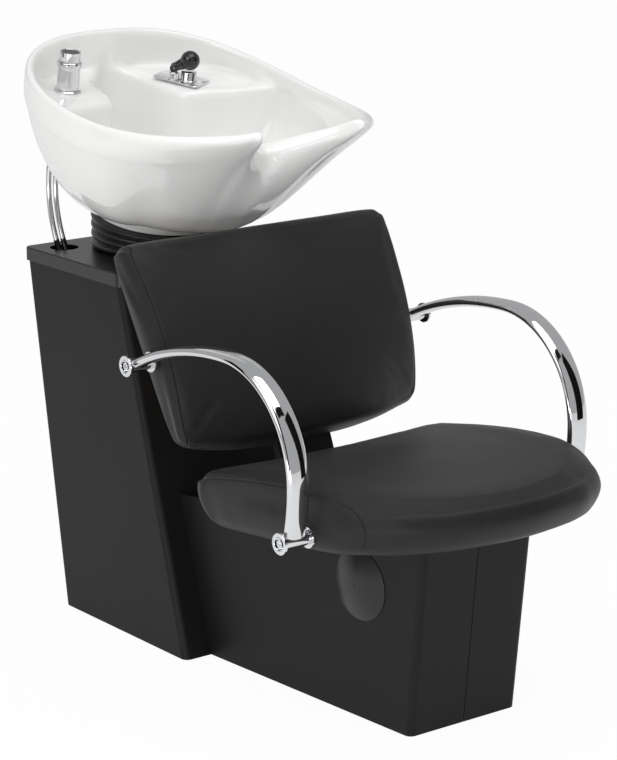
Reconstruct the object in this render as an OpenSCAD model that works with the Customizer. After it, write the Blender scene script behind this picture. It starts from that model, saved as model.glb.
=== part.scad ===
// Backwash unit: a ceramic shampoo bowl that tilts on a steel tower, with a
// seat, a leaning backrest and two chromed arms on a tapered base in front.
// X runs across the sitter, the sitter faces -Y and Z is up. The origin is on
// the floor, on the centre line, where the tower's front meets the base.

/* [Tower] */
// Width of the tower
tower_w = 385; // [340:5:430]
// Depth of the tower at the floor
tower_d = 376; // [340:2:420]
// Height of the tower's walls
tower_h = 620; // [590:2:660]
// How far the front wall leans back over its height
tower_front_lean = 182; // [150:2:200]
// How far the rear wall leans back over its height
tower_rear_lean = 102; // [80:2:130]
// Sheet thickness of the housings
sheet = 1.5; // [1:0.1:2.5]
// Outer radius of the folded corners
bend_r = 12; // [6:1:18]
// Height of the lid's band
lid_h = 23.5; // [16:0.5:30]
// How far the lid stands proud of the walls
lid_over = 3.5; // [2.5:0.5:6]
// Diameter of the hose hole in the lid
hose_hole_d = 51; // [46:1:56]
// Place of the hose hole left of the centre line
hose_hole_x = 145; // [142:1:148]
// Place of the hose hole behind the pivot
hose_hole_y = 85; // [83:1:88]
// Diameter of the lid's opening for the waste
lid_opening_d = 120; // [100:2:130]
// Width of the service opening in the rear wall
service_w = 240; // [180:5:280]
// Height of the service opening
service_h = 340; // [240:5:400]
// Height of the service opening's middle along the wall
service_z = 320; // [280:5:340]

/* [Base] */
// Length of the base at the floor
base_len = 500; // [460:5:540]
// Width of the base at the tower
base_w_rear = 277; // [250:1:300]
// Width of the base at its front
base_w_front = 223; // [200:1:240]
// How far the front wall leans out for each millimetre of height
base_front_slope = 0.101; // [0:0.005:0.15]
// How far each side wall leans out for each millimetre of height
base_flare = 0.013; // [0:0.001:0.03]
// Gap of the seam between the two half shells
seam_gap = 1.4; // [0.8:0.1:2.5]
// Diameter of the domed side caps
cap_d = 118; // [90:1:124]
// Height of a cap's dome
cap_rise = 13; // [6:1:20]
// Distance of the caps from the tower's foot
cap_y = 384; // [340:2:420]
// Height of the caps' middle
cap_z = 226; // [180:2:230]

/* [Floor frame] */
// Thickness of the floor frame
frame_t = 5; // [4:0.5:8]
// Width of the frame's bars
frame_bar = 42; // [34:1:50]
// Diameter of the floor fixing holes
anchor_d = 11; // [8:0.5:14]
// Distance of the floor fixings across the unit
anchor_x = 338; // [330:2:345]
// Distance of the floor fixings along the unit
anchor_y = 290; // [260:5:310]
// Side of the square posts in the base
post_w = 30; // [20:1:40]

/* [Seat] */
// Width of the seat
seat_w = 518; // [490:2:540]
// Length of the seat at its side
seat_len = 478; // [450:2:500]
// How far the seat's front bows out in the middle
seat_bow = 98; // [70:1:110]
// Thickness of the seat cushion
seat_t = 102; // [90:1:112]
// Depth of the dish in the seat's top
seat_dish = 9; // [0:1:14]
// Rise of the seat towards its front, in degrees
seat_tilt = 5.7; // [4:0.1:8]
// Place of the seat's rear edge in front of the tower's foot
seat_y = 105; // [95:1:125]
// Height of the seat's underside at its rear edge
seat_z = 289.5; // [275:0.5:300]
// Thickness of the seat board
seat_board_t = 36; // [30:1:40]
// Distance from the seat's edge to its board
seat_board_in = 24; // [20:1:32]
// How far the seat's lower front edge is tucked back
seat_tuck = 40; // [20:1:50]

/* [Backrest] */
// Width of the backrest at its foot
back_w_low = 494; // [460:2:520]
// Width of the backrest at its top
back_w_top = 552; // [520:2:580]
// Height of the backrest along its lean
back_h = 360; // [330:2:390]
// Lean of the backrest from upright, in degrees
back_lean = 22.9; // [20:0.2:25]
// Place of the backrest's lower rear edge in front of the tower's foot
back_y = 48; // [40:1:56]
// Height of the backrest's lower rear edge
back_z = 388; // [380:1:400]
// Thickness of the backrest at its side edges
back_edge_t = 73; // [66:1:80]
// How far the side walls swell out at the foot of the backrest's front
back_swell = 9; // [4:0.5:12]
// How far the backrest bows forward in the middle of its foot
back_bow = 45; // [30:1:55]
// Thickness of the back board
back_board_t = 12; // [9:1:15]
// Depth of the rails on the back board
back_rail_t = 30; // [26:1:34]
// Width of the steel upright
upright_w = 112; // [80:2:140]
// Thickness of the steel upright
upright_t = 16; // [10:1:20]
// Thickness of the upright's foot
upright_foot_t = 8; // [6:1:10]
// Length of the upright's foot under the seat
upright_foot_l = 170; // [120:5:220]

/* [Arms] */
// Gap between the washers and the arm's tube
arm_gap = 0.5; // [0.3:0.1:4]
// Width of the oval tube
arm_w = 40; // [34:1:42]
// Thickness of the oval tube
arm_t = 18; // [14:1:20]
// Radius of the arm's long top curve
arm_top_r = 555; // [500:5:600]
// Radius of the arm's front curve
arm_front_r = 172; // [165:1:180]
// Radius of the arm's leg
arm_leg_r = 314; // [280:2:340]
// Height of the arm's crest
arm_z = 602; // [590:1:615]
// Place of the arm's crest in front of the tower's foot
arm_y = 270; // [265:1:275]
// Length of the top curve behind its crest, along Y
arm_back_reach = 253; // [245:1:260]
// Length of the leg below the front curve
arm_leg = 86; // [80:1:92]
// Diameter of the cross barrels
barrel_d = 23; // [20:1:24]
// How far the barrels reach past the middle of the tube
barrel_reach = 28; // [25:1:36]
// Diameter of the flange on a barrel's outer end
flange_d = 35; // [30:1:38]
// Thickness of that flange
flange_t = 4.5; // [3:0.5:6]
// Diameter of the recess for the screw
recess_d = 22; // [18:0.5:24]
// Depth of the recess
recess_t = 9; // [8.5:0.5:12]
// Diameter of the arm screws
screw_d = 8; // [6:1:10]
// Diameter of a barrel's neck through the cushion
neck_d = 18; // [14:1:20]
// Diameter of the washers against the cushions
washer_d = 34; // [30:1:40]
// Thickness of the washers
washer_t = 3; // [2:0.5:4]

/* [Bowl] */
// Lean of the bowl towards the sitter, in degrees
bowl_lean = 10.5; // [8:0.5:13]
// Distance of the tilt axis behind the tower's foot
pivot_y = 343; // [338:1:348]
// Height of the tilt axis above the lid
pivot_up = 28.5; // [27:0.5:31]
// Width of the bowl
bowl_w = 512; // [490:2:530]
// Distance from the bowl's widest place to its rear rim
bowl_rear = 306; // [290:2:320]
// Distance from the bowl's widest place to the point of its front ellipse
bowl_front = 365; // [355:1:375]
// How far the widest place lies in front of the pivot
bowl_fwd = 71; // [65:1:77]
// Height of the rim above the pivot at its widest place
rim_z = 261; // [250:1:275]
// Rise of the rim at the rear
rear_rise = 41; // [30:1:48]
// Rise of the rim towards the horns
horn_rise = 61; // [45:1:70]
// Distance of a horn's tip from the centre line
horn_x = 106; // [100:1:112]
// How far the horns reach in front of the pivot
horn_y = 403; // [398:1:408]
// How far the neck rest lies in front of the pivot
neck_y = 285; // [275:1:295]
// Height of the neck rest above the pivot
neck_z = 238; // [230:1:246]
// Thickness of the rim
rim_t = 16; // [13:0.5:19]
// Height of the ledges above the pivot
ledge_z = 233; // [225:1:240]
// Half the width of the bay between the ledges
bay_w = 60; // [50:1:66]
// Height of the basin's floor above the pivot
floor_z = 66; // [60:1:75]
// Radius of the bowl's foot
foot_r = 112; // [108:1:116]
// Height of the foot's band
foot_h = 15; // [12:1:18]
// Diameter of the waste hole
waste_hole_d = 52; // [48:1:56]
// Depth of the soft step below the rim at the sides
apron_step = 3; // [0:0.5:4]

/* [Tilt gear] */
// Height of the bowl's foot above the pivot
foot_z = 26.5; // [25:0.5:29]
// Thickness of the gasket under the foot
gasket_t = 3; // [2:0.5:4]
// Thickness of the yoke's plate
yoke_t = 6; // [5:0.5:7]
// Radius of the yoke's plate
yoke_r = 98; // [90:1:102]
// Distance of the yoke's ears from the centre line
yoke_x = 61; // [58:1:63]
// Thickness of an ear
ear_t = 5; // [4:0.5:6]
// Thickness of the friction discs
disc_t = 3; // [2:0.5:4]
// Radius of the ears' round ends
ear_r = 14; // [12:0.5:15]
// Diameter of the pivot bolts
pivot_d = 10; // [8:0.5:12]
// Running clearance on the pivot bolts
pivot_clear = 0.05; // [0.02:0.01:0.1]
// Number of ribs on the rubber bellows
bellows_ribs = 4; // [3:1:6]
// Radius of the bellows over its ribs
bellows_r = 120; // [117:1:122]
// Depth of the bellows' folds
fold_depth = 10; // [6:1:12]
// Thickness of the bellows' rubber
rubber_t = 2.5; // [2:0.5:4]

/* [Waste and water] */
// Diameter of the tailpipe
tailpipe_d = 42; // [38:1:44]
// Length of the tailpipe below the pivot
tailpipe_drop = 95; // [85:1:105]
// Diameter of the fixed waste pipe
waste_pipe_d = 40; // [38:1:42]
// Height of the fixed waste pipe's top
waste_pipe_h = 190; // [160:2:220]
// Diameter of the supply tails
tail_d = 10; // [8:0.5:11]
// Distance of the outer tail from the centre line
tail_x = 153; // [151:1:154]
// Distance between the two tails across the bowl
tail_gap = 14; // [13:0.5:16]
// Bend radius of the tails
tail_r = 203; // [190:1:215]
// Turn of the tails' bend, in degrees
tail_turn = 38; // [34:1:40]

/* [Fittings] */
// Distance of the spray from the centre line
spray_x = 138; // [134:1:142]
// Distance of the spray behind the pivot
spray_y = 119; // [114:1:124]
// Diameter of the spray's body
spray_d = 40; // [36:1:44]
// Height of the spray above its holder
spray_h = 72; // [60:1:85]
// Diameter of the holder's flange
holder_d = 48; // [46:1:54]
// Length of the mixer's plate
plate_l = 91; // [80:1:100]
// Width of the mixer's plate
plate_w = 57; // [52:1:62]
// Thickness of the mixer's plate
plate_t = 3; // [2:0.5:5]
// Turn of the plate from the bowl's length, in degrees
plate_turn = 26; // [18:1:32]
// Distance of the plate's middle from the centre line
plate_x = 104; // [101:1:108]
// Distance of the plate's middle behind the pivot
plate_y = 116; // [112:1:120]
// Distance of the turret from the plate's middle, across the plate
turret_in = 15; // [12:0.5:16]
// Distance of the turret from the plate's middle, along the plate
turret_along = 9; // [6:0.5:14]
// Turn of the lever from the plate's width, in degrees
lever_turn = 66; // [58:1:72]
// Diameter of the mixer's vacuum breaker
breaker_d = 28; // [22:1:29]
// Height of the vacuum breaker
breaker_h = 17; // [12:0.5:17.5]
// Distance from the vacuum breaker to the lever's turret
turret_gap = 27; // [26:0.5:30]
// Diameter of the turret at its foot
turret_d = 22; // [18:1:23]
// Height of the turret
turret_h = 13; // [10:0.5:14]
// Diameter of the lever's ball
ball_d = 35; // [30:1:38]
// Height of the ball's middle above the plate
ball_up = 37; // [37:0.5:44]

/* [Hidden] */
$fn = 48;

// Small values that many pieces share
soft_gap = 0.3;
face_gap = 0.3;
eps = 0.01;
big = 900;

pivot_z = tower_h + lid_h + pivot_up;
base_taper = (base_w_rear - base_w_front) / 2 / base_len;
taper_turn = atan(base_taper);
flare_turn = atan(base_flare);
foot_back = foot_z * tan(bowl_lean);

black_steel = [0.05, 0.05, 0.055];
chrome = [0.82, 0.83, 0.85];
black_cover = [0.04, 0.04, 0.04];
ceramic = [0.95, 0.95, 0.94];
black_rubber = [0.03, 0.03, 0.03];
board = [0.55, 0.42, 0.28];
zinc = [0.6, 0.61, 0.63];

// Places of the main assemblies
module at_bowl() { translate([0, pivot_y, pivot_z]) rotate([bowl_lean, 0, 0]) children(); }
module at_seat() { translate([0, -seat_y, seat_z]) rotate([-seat_tilt, 0, 0]) children(); }
module at_back() { translate([0, -back_y, back_z]) rotate([90 - back_lean, 0, 0]) children(); }
module at_rear_wall() {
    translate([0, tower_d, 0]) rotate([-atan(tower_rear_lean / tower_h), 0, 0]) children();
}
module both_sides() { children(); mirror([1, 0, 0]) children(); }
module along_x(length, r, x0 = 0) { translate([x0, 0, 0]) rotate([0, 90, 0]) cylinder(h = length, r = r); }
module side_profile(width) { rotate([90, 0, 90]) linear_extrude(width, center = true) children(); }

// Curves through chosen points, mirrored in the plane x = 0. A point may carry
// more values after its place, and the sixth of them is mirrored too.
function mix(a, b, t) = a + (b - a) * t;
function flip(p) = [for (i = [0 : len(p) - 1]) i % 5 == 0 ? -p[i] : p[i]];
function curve(a, b, c, d, t) =
    0.5 * (2 * b + (c - a) * t + (2 * a - 5 * b + 4 * c - d) * t * t + (3 * b - a - 3 * c + d) * t * t * t);
function half_loop(s, n) = let(m = len(s) - 1, e = concat([flip(s[1])], s, [flip(s[m - 1])]))
    concat([for (i = [0 : m - 1]) for (j = [0 : n - 1]) curve(e[i], e[i + 1], e[i + 2], e[i + 3], j / n)],
        [s[m]]);
function whole_loop(s, n) = let(h = half_loop(s, n)) concat(h, [for (k = [len(h) - 2 : -1 : 1]) flip(h[k])]);

// One skin over a stack of loops, which run anticlockwise seen from the last
function skin(n, i, o) = [for (j = [0 : n - 1]) let(k = (j + 1) % n)
    each [[i * n + j, o * n + k, i * n + k], [i * n + j, o * n + j, o * n + k]]];
module loft(loops) {
    n = len(loops[0]);
    m = len(loops);
    polyhedron(points = [for (l = loops) each l], convexity = 10,
        faces = concat([[for (j = [0 : n - 1]) j]], [for (i = [0 : m - 2]) each skin(n, i, i + 1)],
            [[for (j = [n - 1 : -1 : 0]) (m - 1) * n + j]]));
}
// The same skin where the last loop joins the first, round a bore
module ring_loft(loops) {
    n = len(loops[0]);
    m = len(loops);
    polyhedron(points = [for (l = loops) each l], convexity = 10,
        faces = [for (i = [0 : m - 1]) each skin(n, i, (i + 1) % m)]);
}

// Floor frame: one flat plate cut from steel, with holes for the floor fixings
module bar_window(x0, x1, y0, y1) { translate([x0, y0]) square([x1 - x0, y1 - y0]); }
module round_corners(hw, y0, y1, r) {
    bar_window(-hw + r, hw - r, y0, y1);
    bar_window(-hw, hw, y0 + r, y1 - r);
    for (x = [-1, 1]) for (y = [y0 + r, y1 - r]) translate([x * (hw - r), y]) circle(r = r);
}
tongue = base_w_front / 2 - sheet - soft_gap;
module floor_frame() {
    tower_in = tower_w / 2 - sheet - soft_gap;
    lean_in = sheet + soft_gap + tower_front_lean * frame_t / tower_h;
    color(zinc) difference() {
        linear_extrude(frame_t) difference() {
            union() {
                round_corners(tower_in, lean_in, tower_d - sheet - soft_gap, bend_r);
                bar_window(-tongue, tongue, -base_len + bend_r, lean_in + frame_bar);
            }
            bar_window(-tower_in + frame_bar, tower_in - frame_bar, frame_bar, tower_d / 2 - frame_bar / 2);
            bar_window(-tower_in + frame_bar, tower_in - frame_bar, tower_d / 2 + frame_bar / 2,
                tower_d - frame_bar);
            bar_window(-tongue + frame_bar, tongue - frame_bar, -base_len + bend_r + frame_bar, -frame_bar);
        }
        for (x = [-1, 1]) for (y = [-1, 1])
            translate([x * anchor_x / 2, tower_d / 2 + y * anchor_y / 2, -1])
                cylinder(h = frame_t + 2, d = anchor_d);
        translate([0, tower_d / 2, -1]) cylinder(h = frame_t + 2, d = waste_pipe_d + 2 * face_gap);
    }
}

// Tower: four leaning walls folded from sheet, open above and below
module tower_block(inset, h = tower_h, more = 0) {
    r = bend_r - inset;
    hull() for (top = [0, 1]) for (x = [-1, 1]) for (back = [0, 1])
        let(z = top ? h + more : -more, s = z / tower_h,
            y = back ? tower_d + tower_rear_lean * s - bend_r : tower_front_lean * s + bend_r)
        translate([x * (tower_w / 2 - bend_r), y, z - (top ? eps : 0)]) cylinder(h = eps, r = r, $fn = 32);
}
module tower_shell() {
    color(black_steel) difference() {
        tower_block(0);
        tower_block(sheet, more = 5);
        at_rear_wall() translate([-service_w / 2, -20, service_z - service_h / 2])
            cube([service_w, 40, service_h]);
        translate([-tongue - soft_gap, -5, -1]) cube([2 * (tongue + soft_gap), 20, frame_t + 1 + soft_gap]);
    }
}
// Lid: a moulded tray turned over, with the hose hole and the waste opening
module lid_outline(grow) {
    y0 = tower_front_lean - lid_over - grow;
    y1 = tower_d + tower_rear_lean + lid_over + grow;
    hw = tower_w / 2 + lid_over + grow;
    round_corners(hw, y0, y1, bend_r + grow);
}
module tower_lid() {
    edge = 2.5;
    color(black_steel) translate([0, 0, tower_h]) difference() {
        union() {
            linear_extrude(lid_h - edge) lid_outline(0);
            for (k = [1 : 3]) translate([0, 0, lid_h - edge - 0.5]) linear_extrude(edge * k / 3 + 0.5)
                lid_outline(-edge * (1 - sqrt(1 - k * k / 9.6)));
        }
        translate([0, 0, -1]) linear_extrude(lid_h - sheet + 1) lid_outline(-lid_over - sheet);
        translate([-hose_hole_x, pivot_y + hose_hole_y, 0]) cylinder(h = lid_h + 5, d = hose_hole_d);
        translate([0, pivot_y, 0]) cylinder(h = lid_h + 5, d = lid_opening_d);
        translate([0, 0, -tower_h]) at_bracket_screws() translate([0, 0, -lid_h])
            cylinder(h = 2 * lid_h, d = 6.4);
    }
}
// Service panel: a flat cover screwed over the opening in the rear wall
panel_lap = 14;
module panel_corners(inset) {
    for (x = [-1, 1]) for (z = [-1, 1])
        translate([x * (service_w / 2 + panel_lap - inset), 0,
            service_z + z * (service_h / 2 + panel_lap - inset)])
            children();
}
module service_panel() {
    w = service_w + 2 * panel_lap;
    h = service_h + 2 * panel_lap;
    color(black_steel) at_rear_wall() difference() {
        translate([-w / 2, face_gap / 3, service_z - h / 2]) cube([w, sheet, h]);
        panel_corners(panel_lap / 2) rotate([-90, 0, 0]) translate([0, 0, -5]) cylinder(h = 20, d = 4.4);
    }
}
module panel_screws() {
    color(zinc) at_rear_wall() panel_corners(panel_lap / 2)
        translate([0, face_gap / 3 + sheet, 0]) rotate([-90, 0, 0]) {
            cylinder(h = 1.2, d = 8.4);
            translate([0, 0, 1.2]) cylinder(h = 1, d1 = 8.4, d2 = 5);
            translate([0, 0, -sheet]) cylinder(h = sheet, d = 4);
        }
}

// Base: two mirrored half shells that meet on the centre line
function base_half(y, z) = base_w_rear / 2 + base_taper * y + base_flare * z;
module base_block(inset, h = 420, more = 0) {
    r = bend_r - inset;
    hull() for (top = [0, 1]) for (x = [-1, 1]) for (front = [0, 1])
        let(z = top ? h : -more, y = front ? -base_len - base_front_slope * z + bend_r : 160)
        translate([x * (base_half(y, z) - bend_r / cos(taper_turn)), y, z - (top ? eps : 0)])
            cylinder(h = eps, r = r, $fn = 32);
}
module below_seat(w) { at_seat() translate([-big / 2, -big + 200, w - big]) cube([big, big, big]); }
module at_cap() {
    translate([-base_half(-cap_y, cap_z), -cap_y, cap_z]) rotate([0, -90 - flare_turn, taper_turn])
        children();
}
seam_lip = 11;
module half_shell() {
    difference() {
        intersection() {
            union() {
                difference() {
                    base_block(0);
                    base_block(sheet, more = 5);
                }
                intersection() {
                    base_block(sheet / 2);
                    translate([-seam_gap / 2 - sheet, -base_len - 60, frame_t + 1])
                        cube([sheet, 60 + bend_r + seam_lip, seat_z - 20]);
                }
            }
            translate([-big - seam_gap / 2, -big, -1]) cube([big, 2 * big, big]);
            below_seat(-1);
        }
        at_cap() translate([0, 0, -10]) cylinder(h = 20, d = cap_d - 14);
        tower_block(-face_gap, more = 1);
    }
}
module left_base_shell() { color(black_steel) half_shell(); }
module right_base_shell() { color(black_steel) mirror([1, 0, 0]) half_shell(); }

// Posts and top plate inside the base carry the seat and the upright
base_plate_t = 4;
post_x = tongue - frame_bar / 2;
module base_posts() {
    color(zinc) for (x = [-1, 1]) for (y = [-70, -base_len + 90]) intersection() {
        translate([x * post_x - post_w / 2, y - post_w / 2, frame_t]) difference() {
            cube([post_w, post_w, big / 2]);
            translate([2, 2, -1]) cube([post_w - 4, post_w - 4, big]);
        }
        below_seat(-upright_foot_t - base_plate_t);
    }
}
module base_top() {
    color(black_steel) difference() {
        union() {
            intersection() {
                base_block(sheet + soft_gap);
                at_seat() translate([-big / 2, -big + 200, -upright_foot_t - base_plate_t])
                    cube([big, big, base_plate_t]);
            }
            at_seat() translate([-post_x, -seat_len * 0.78, -upright_foot_t])
                cube([2 * post_x, frame_bar, upright_foot_t]);
        }
        tower_block(-2 * face_gap, more = 0);
        at_foot_bolts() translate([0, 0, -20]) cylinder(h = 40, d = 8.4);
    }
}
module cap() {
    ball_r = (cap_d * cap_d / 4 + cap_rise * cap_rise) / 2 / cap_rise;
    at_cap() translate([0, 0, face_gap / 3]) {
        intersection() {
            translate([0, 0, cap_rise + 1 - ball_r]) sphere(r = ball_r, $fn = 96);
            cylinder(h = cap_rise + 5, d = cap_d);
        }
        translate([0, 0, -8]) difference() {
            cylinder(h = 8.5, d = cap_d - 15);
            translate([0, 0, -1]) cylinder(h = 8, d = cap_d - 21);
        }
    }
}
module left_cap() { color(black_steel) cap(); }
module right_cap() { color(black_steel) mirror([1, 0, 0]) cap(); }

// Upright: a flat steel bar up the back and a foot under the seat board
function back_point(v, w) = [-back_y + v * sin(back_lean) - w * cos(back_lean),
    back_z + v * cos(back_lean) + w * sin(back_lean)];
function seat_point(f, w) = [-seat_y - f * cos(seat_tilt) + w * sin(seat_tilt),
    seat_z + f * sin(seat_tilt) + w * cos(seat_tilt)];
upright_up = 165;
upright_v = -(back_z - seat_z) / cos(back_lean) - 30;
module upright_profile() {
    rear = back_board_t;
    front = back_board_t + upright_t;
    polygon([back_point(upright_up, rear), back_point(upright_v, rear), back_point(upright_v, front),
        back_point(upright_up, front)]);
    polygon([seat_point(-24, -face_gap / 3), seat_point(-24, -upright_foot_t),
        seat_point(upright_foot_l, -upright_foot_t),
        seat_point(upright_foot_l, -face_gap / 3)]);
}
module at_foot_bolts() {
    for (x = [-1, 1]) for (f = [85, upright_foot_l - 25])
        at_seat() translate([x * upright_w * 0.3, -f, 0]) children();
}
module at_back_bolts() {
    for (x = [-1, 1]) for (v = [60, upright_up - 30])
        at_back() translate([x * upright_w * 0.3, v, 0]) children();
}
module back_upright() {
    color(black_steel) difference() {
        intersection() {
            side_profile(upright_w) upright_profile();
            at_seat() translate([-big / 2, -big / 2, -upright_foot_t]) cube([big, big, big]);
        }
        at_foot_bolts() translate([0, 0, -20]) cylinder(h = 40, d = 8.4);
        at_back_bolts() cylinder(h = 60, d = 8.4);
    }
}
module upright_bolts() {
    color(zinc) {
        at_foot_bolts() {
            translate([0, 0, -upright_foot_t - base_plate_t - 6]) cylinder(h = 6, d = 13, $fn = 6);
            translate([0, 0, -upright_foot_t - base_plate_t])
                cylinder(h = upright_foot_t + base_plate_t + seat_board_t * 0.6, d = 8);
        }
        at_back_bolts() {
            translate([0, 0, -3]) cylinder(h = 3, d1 = 11, d2 = 15);
            translate([0, 0, -eps]) cylinder(h = back_board_t + upright_t, d = 8);
        }
    }
}

// Seat: a board in a cushion with a waterfall front
seat_mid = seat_len * 0.52;
function seat_edge(in_rear, in_side, in_front) = let(hw = seat_w / 2 - in_side, l = seat_len - in_front,
    bow = seat_bow)
    [[0, -l - bow], [hw * 0.4, -l - bow * 0.84], [hw * 0.62, -l - bow * 0.58],
        [hw * 0.79, -l - bow * 0.25], [hw * 0.895, -l + 12], [hw - 8, -l + 45], [hw, -l + 90],
        [hw + 1, -seat_len * 0.5], [hw, -in_rear - 62], [hw - 4, -in_rear - 22],
        [hw * 0.88, -in_rear - 2], [hw * 0.45, -in_rear], [0, -in_rear]];
function seat_top(x, y) = seat_t - 15 * pow((-y - seat_len * 0.54) / 200, 2)
    - seat_dish * (1 - pow(x / seat_w * 2, 2)) * (1 - pow((-y - seat_mid) / seat_len, 2));
function seat_flat(r, s, f, w) = whole_loop([for (q = seat_edge(r, s, f)) [q[0], q[1], w]], 3);
function seat_under(r, s, f, low) = [for (p = seat_flat(r, s, f, 0))
    [p[0], p[1], seat_top(p[0], p[1]) - low]];
function seat_crown(k, low) = [for (p = seat_flat(27, 9, 60, 0))
    let(x = p[0] * k, y = -seat_mid + (p[1] + seat_mid) * k) [x, y, seat_top(x, y) - low]];
module seat_solid() {
    loft([seat_flat(58, 9, 8 + seat_tuck, soft_gap), seat_flat(27, 2, 2 + seat_tuck / 2, 13),
        seat_flat(9, 0, 7, 40),
        seat_flat(8, 0, 17, 64),
        seat_under(15, 2, 33, 13), seat_crown(1, 2.5), seat_crown(0.965, 0), seat_crown(0.86, -1),
        seat_crown(0.7, 0), seat_crown(0.5, 0), seat_crown(0.28, 0), seat_crown(0.06, 0)]);
}
module seat_board_flat(grow) {
    in = seat_board_in - grow;
    polygon([for (p = whole_loop([for (q = seat_edge(62 - grow, in, in + seat_tuck + 6)) [q[0], q[1], 0]], 2))
        [p[0], p[1]]]);
}
module seat_board() {
    color(board) difference() {
        at_seat() linear_extrude(seat_board_t) seat_board_flat(0);
        both_sides() at_front_pin() along_x(100, screw_d / 2 + thread_clear, seat_w / 2 - 90);
        at_foot_bolts() translate([0, 0, -1]) cylinder(h = seat_board_t * 0.7, d = 8.4);
    }
}
module seat_cushion() {
    color(black_cover) difference() {
        at_seat() seat_solid();
        at_seat() translate([0, 0, -1]) linear_extrude(seat_board_t + 1 + soft_gap) seat_board_flat(soft_gap);
        both_sides() at_front_pin() along_x(200, neck_d / 2 + soft_gap, seat_w / 2 - 70);
    }
}

// Backrest: a railed board in a bowed cushion with boxed sides
function back_half(v) = mix(back_w_low, back_w_top, v / back_h) / 2;
function back_edge(i) = let(h = back_h - i, lo = back_half(i) - i, hi = back_half(h) - i)
    [[0, i - 20], [lo * 0.5, i - 16], [lo - 50, i - 3], [lo - 13, i + 9], [lo + 1, i + 42],
        [mix(lo, hi, 0.5), mix(i, h, 0.5)], [hi - 2, h - 34], [hi - 8, h - 9], [hi - 34, h],
            [hi * 0.5, h], [0, h]];
function back_t(v) = let(u = v / back_h - 0.5) back_edge_t - (u < 0 ? 36 : 29) * pow(u / 0.5, 2);
function back_out(v) = back_swell * pow(min(1, max(0, 1 - v / (0.68 * back_h))), 0.8);
function swollen(x, v, share) = x + back_out(v) * x / back_half(v) * share;
function back_front(x, v) = back_t(v)
    + mix(back_bow, 9, max(0, v) / back_h) * (1 - pow(x / back_half(v), 2));
function back_flat(i, w) = whole_loop([for (q = back_edge(i)) [q[0], q[1], w]], 3);
function back_side(i, share, out) = [for (p = back_flat(i, 0))
    [swollen(p[0], p[1], out), p[1], share * back_front(p[0], p[1])]];
function back_crown(k, low) = [for (p = back_flat(9, 0))
    let(x = swollen(p[0], p[1], 1) * k, v = back_h / 2 + (p[1] - back_h / 2) * k)
        [x, v, back_front(x, v) - low]];
module back_solid() {
    loft([back_flat(7, 0), back_flat(2, 4), back_side(-1, 0.4, 0), back_side(0, 0.68, 1),
        back_side(4, 0.88, 1),
        back_crown(1, 2), back_crown(0.96, 0), back_crown(0.85, 0), back_crown(0.66, 0), back_crown(0.45, 0),
        back_crown(0.24, 0), back_crown(0.05, 0)]);
}
module back_board_flat(grow) {
    polygon([for (p = back_flat(16 - grow, 0)) [p[0], p[1]]]);
}
rail_w = 26;
rail_in = 22;
rail_ends = [40, back_h - 60];
module rails(grow) {
    both_sides() linear_extrude(back_board_t + back_rail_t + grow) polygon([
        [back_half(rail_ends[0]) - rail_in - rail_w - grow, rail_ends[0] - grow],
        [back_half(rail_ends[0]) - rail_in + grow, rail_ends[0] - grow],
        [back_half(rail_ends[1]) - rail_in + grow, rail_ends[1] + grow],
        [back_half(rail_ends[1]) - rail_in - rail_w - grow, rail_ends[1] + grow]]);
}
module back_board() {
    color(board) difference() {
        at_back() union() {
            linear_extrude(back_board_t) back_board_flat(0);
            rails(0);
        }
        both_sides() at_rear_pin() along_x(100, screw_d / 2 + thread_clear, back_w_low / 2 - 60);
        at_back_bolts() translate([0, 0, -1]) cylinder(h = 60, d = 8.4);
    }
}
module back_cushion() {
    color(black_cover) difference() {
        at_back() back_solid();
        at_back() translate([0, 0, -1]) linear_extrude(back_board_t + 1 + soft_gap) back_board_flat(soft_gap);
        at_back() rails(soft_gap);
        at_back() translate([-upright_w / 2 - soft_gap, -60, back_board_t])
            cube([upright_w + 2 * soft_gap, upright_up + 60 + soft_gap, upright_t + soft_gap]);
        both_sides() at_rear_pin() along_x(200, neck_d / 2 + soft_gap, back_w_low / 2 - 40);
    }
}

// Arms: an oval tube in three arcs, welded on two cross barrels
thread_clear = 0.05;
arm_drop = arm_top_r - sqrt(arm_top_r * arm_top_r - arm_back_reach * arm_back_reach);
leg_shift = arm_leg_r - sqrt(arm_leg_r * arm_leg_r - arm_leg * arm_leg);
rear_pin = [-arm_y + arm_back_reach, arm_z - arm_drop];
front_pin = [-arm_y - arm_front_r + leg_shift, arm_z - arm_front_r - arm_leg];
rear_pin_v = (rear_pin[1] - back_z) * cos(back_lean) + (rear_pin[0] + back_y) * sin(back_lean);
module at_rear_pin() { translate([0, rear_pin[0], rear_pin[1]]) children(); }
module at_front_pin() { translate([0, front_pin[0], front_pin[1]]) children(); }
// Where the sides of cushion and board stand at each pin
back_side_x = back_half(rear_pin_v + washer_d / 2) + 0.85 * back_out(rear_pin_v - washer_d / 2)
    + 1 + soft_gap;
back_rail_x = back_half(rear_pin_v) - rail_in + 1.1;
seat_side_x = seat_w / 2 + 1 + soft_gap;
seat_board_x = seat_w / 2 - seat_board_in + 1.1;
arm_x = max(back_side_x, seat_side_x) + washer_t + arm_gap + arm_w / 2;
barrel_out = arm_x + barrel_reach;
screw_head = [13, 8];

module oval() {
    polygon([for (k = [0 : 27]) let(a = 360 * k / 28)
        [arm_t / 2 * cos(a), arm_w / 2 * sign(sin(a)) * pow(abs(sin(a)), 0.8)]]);
}
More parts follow.
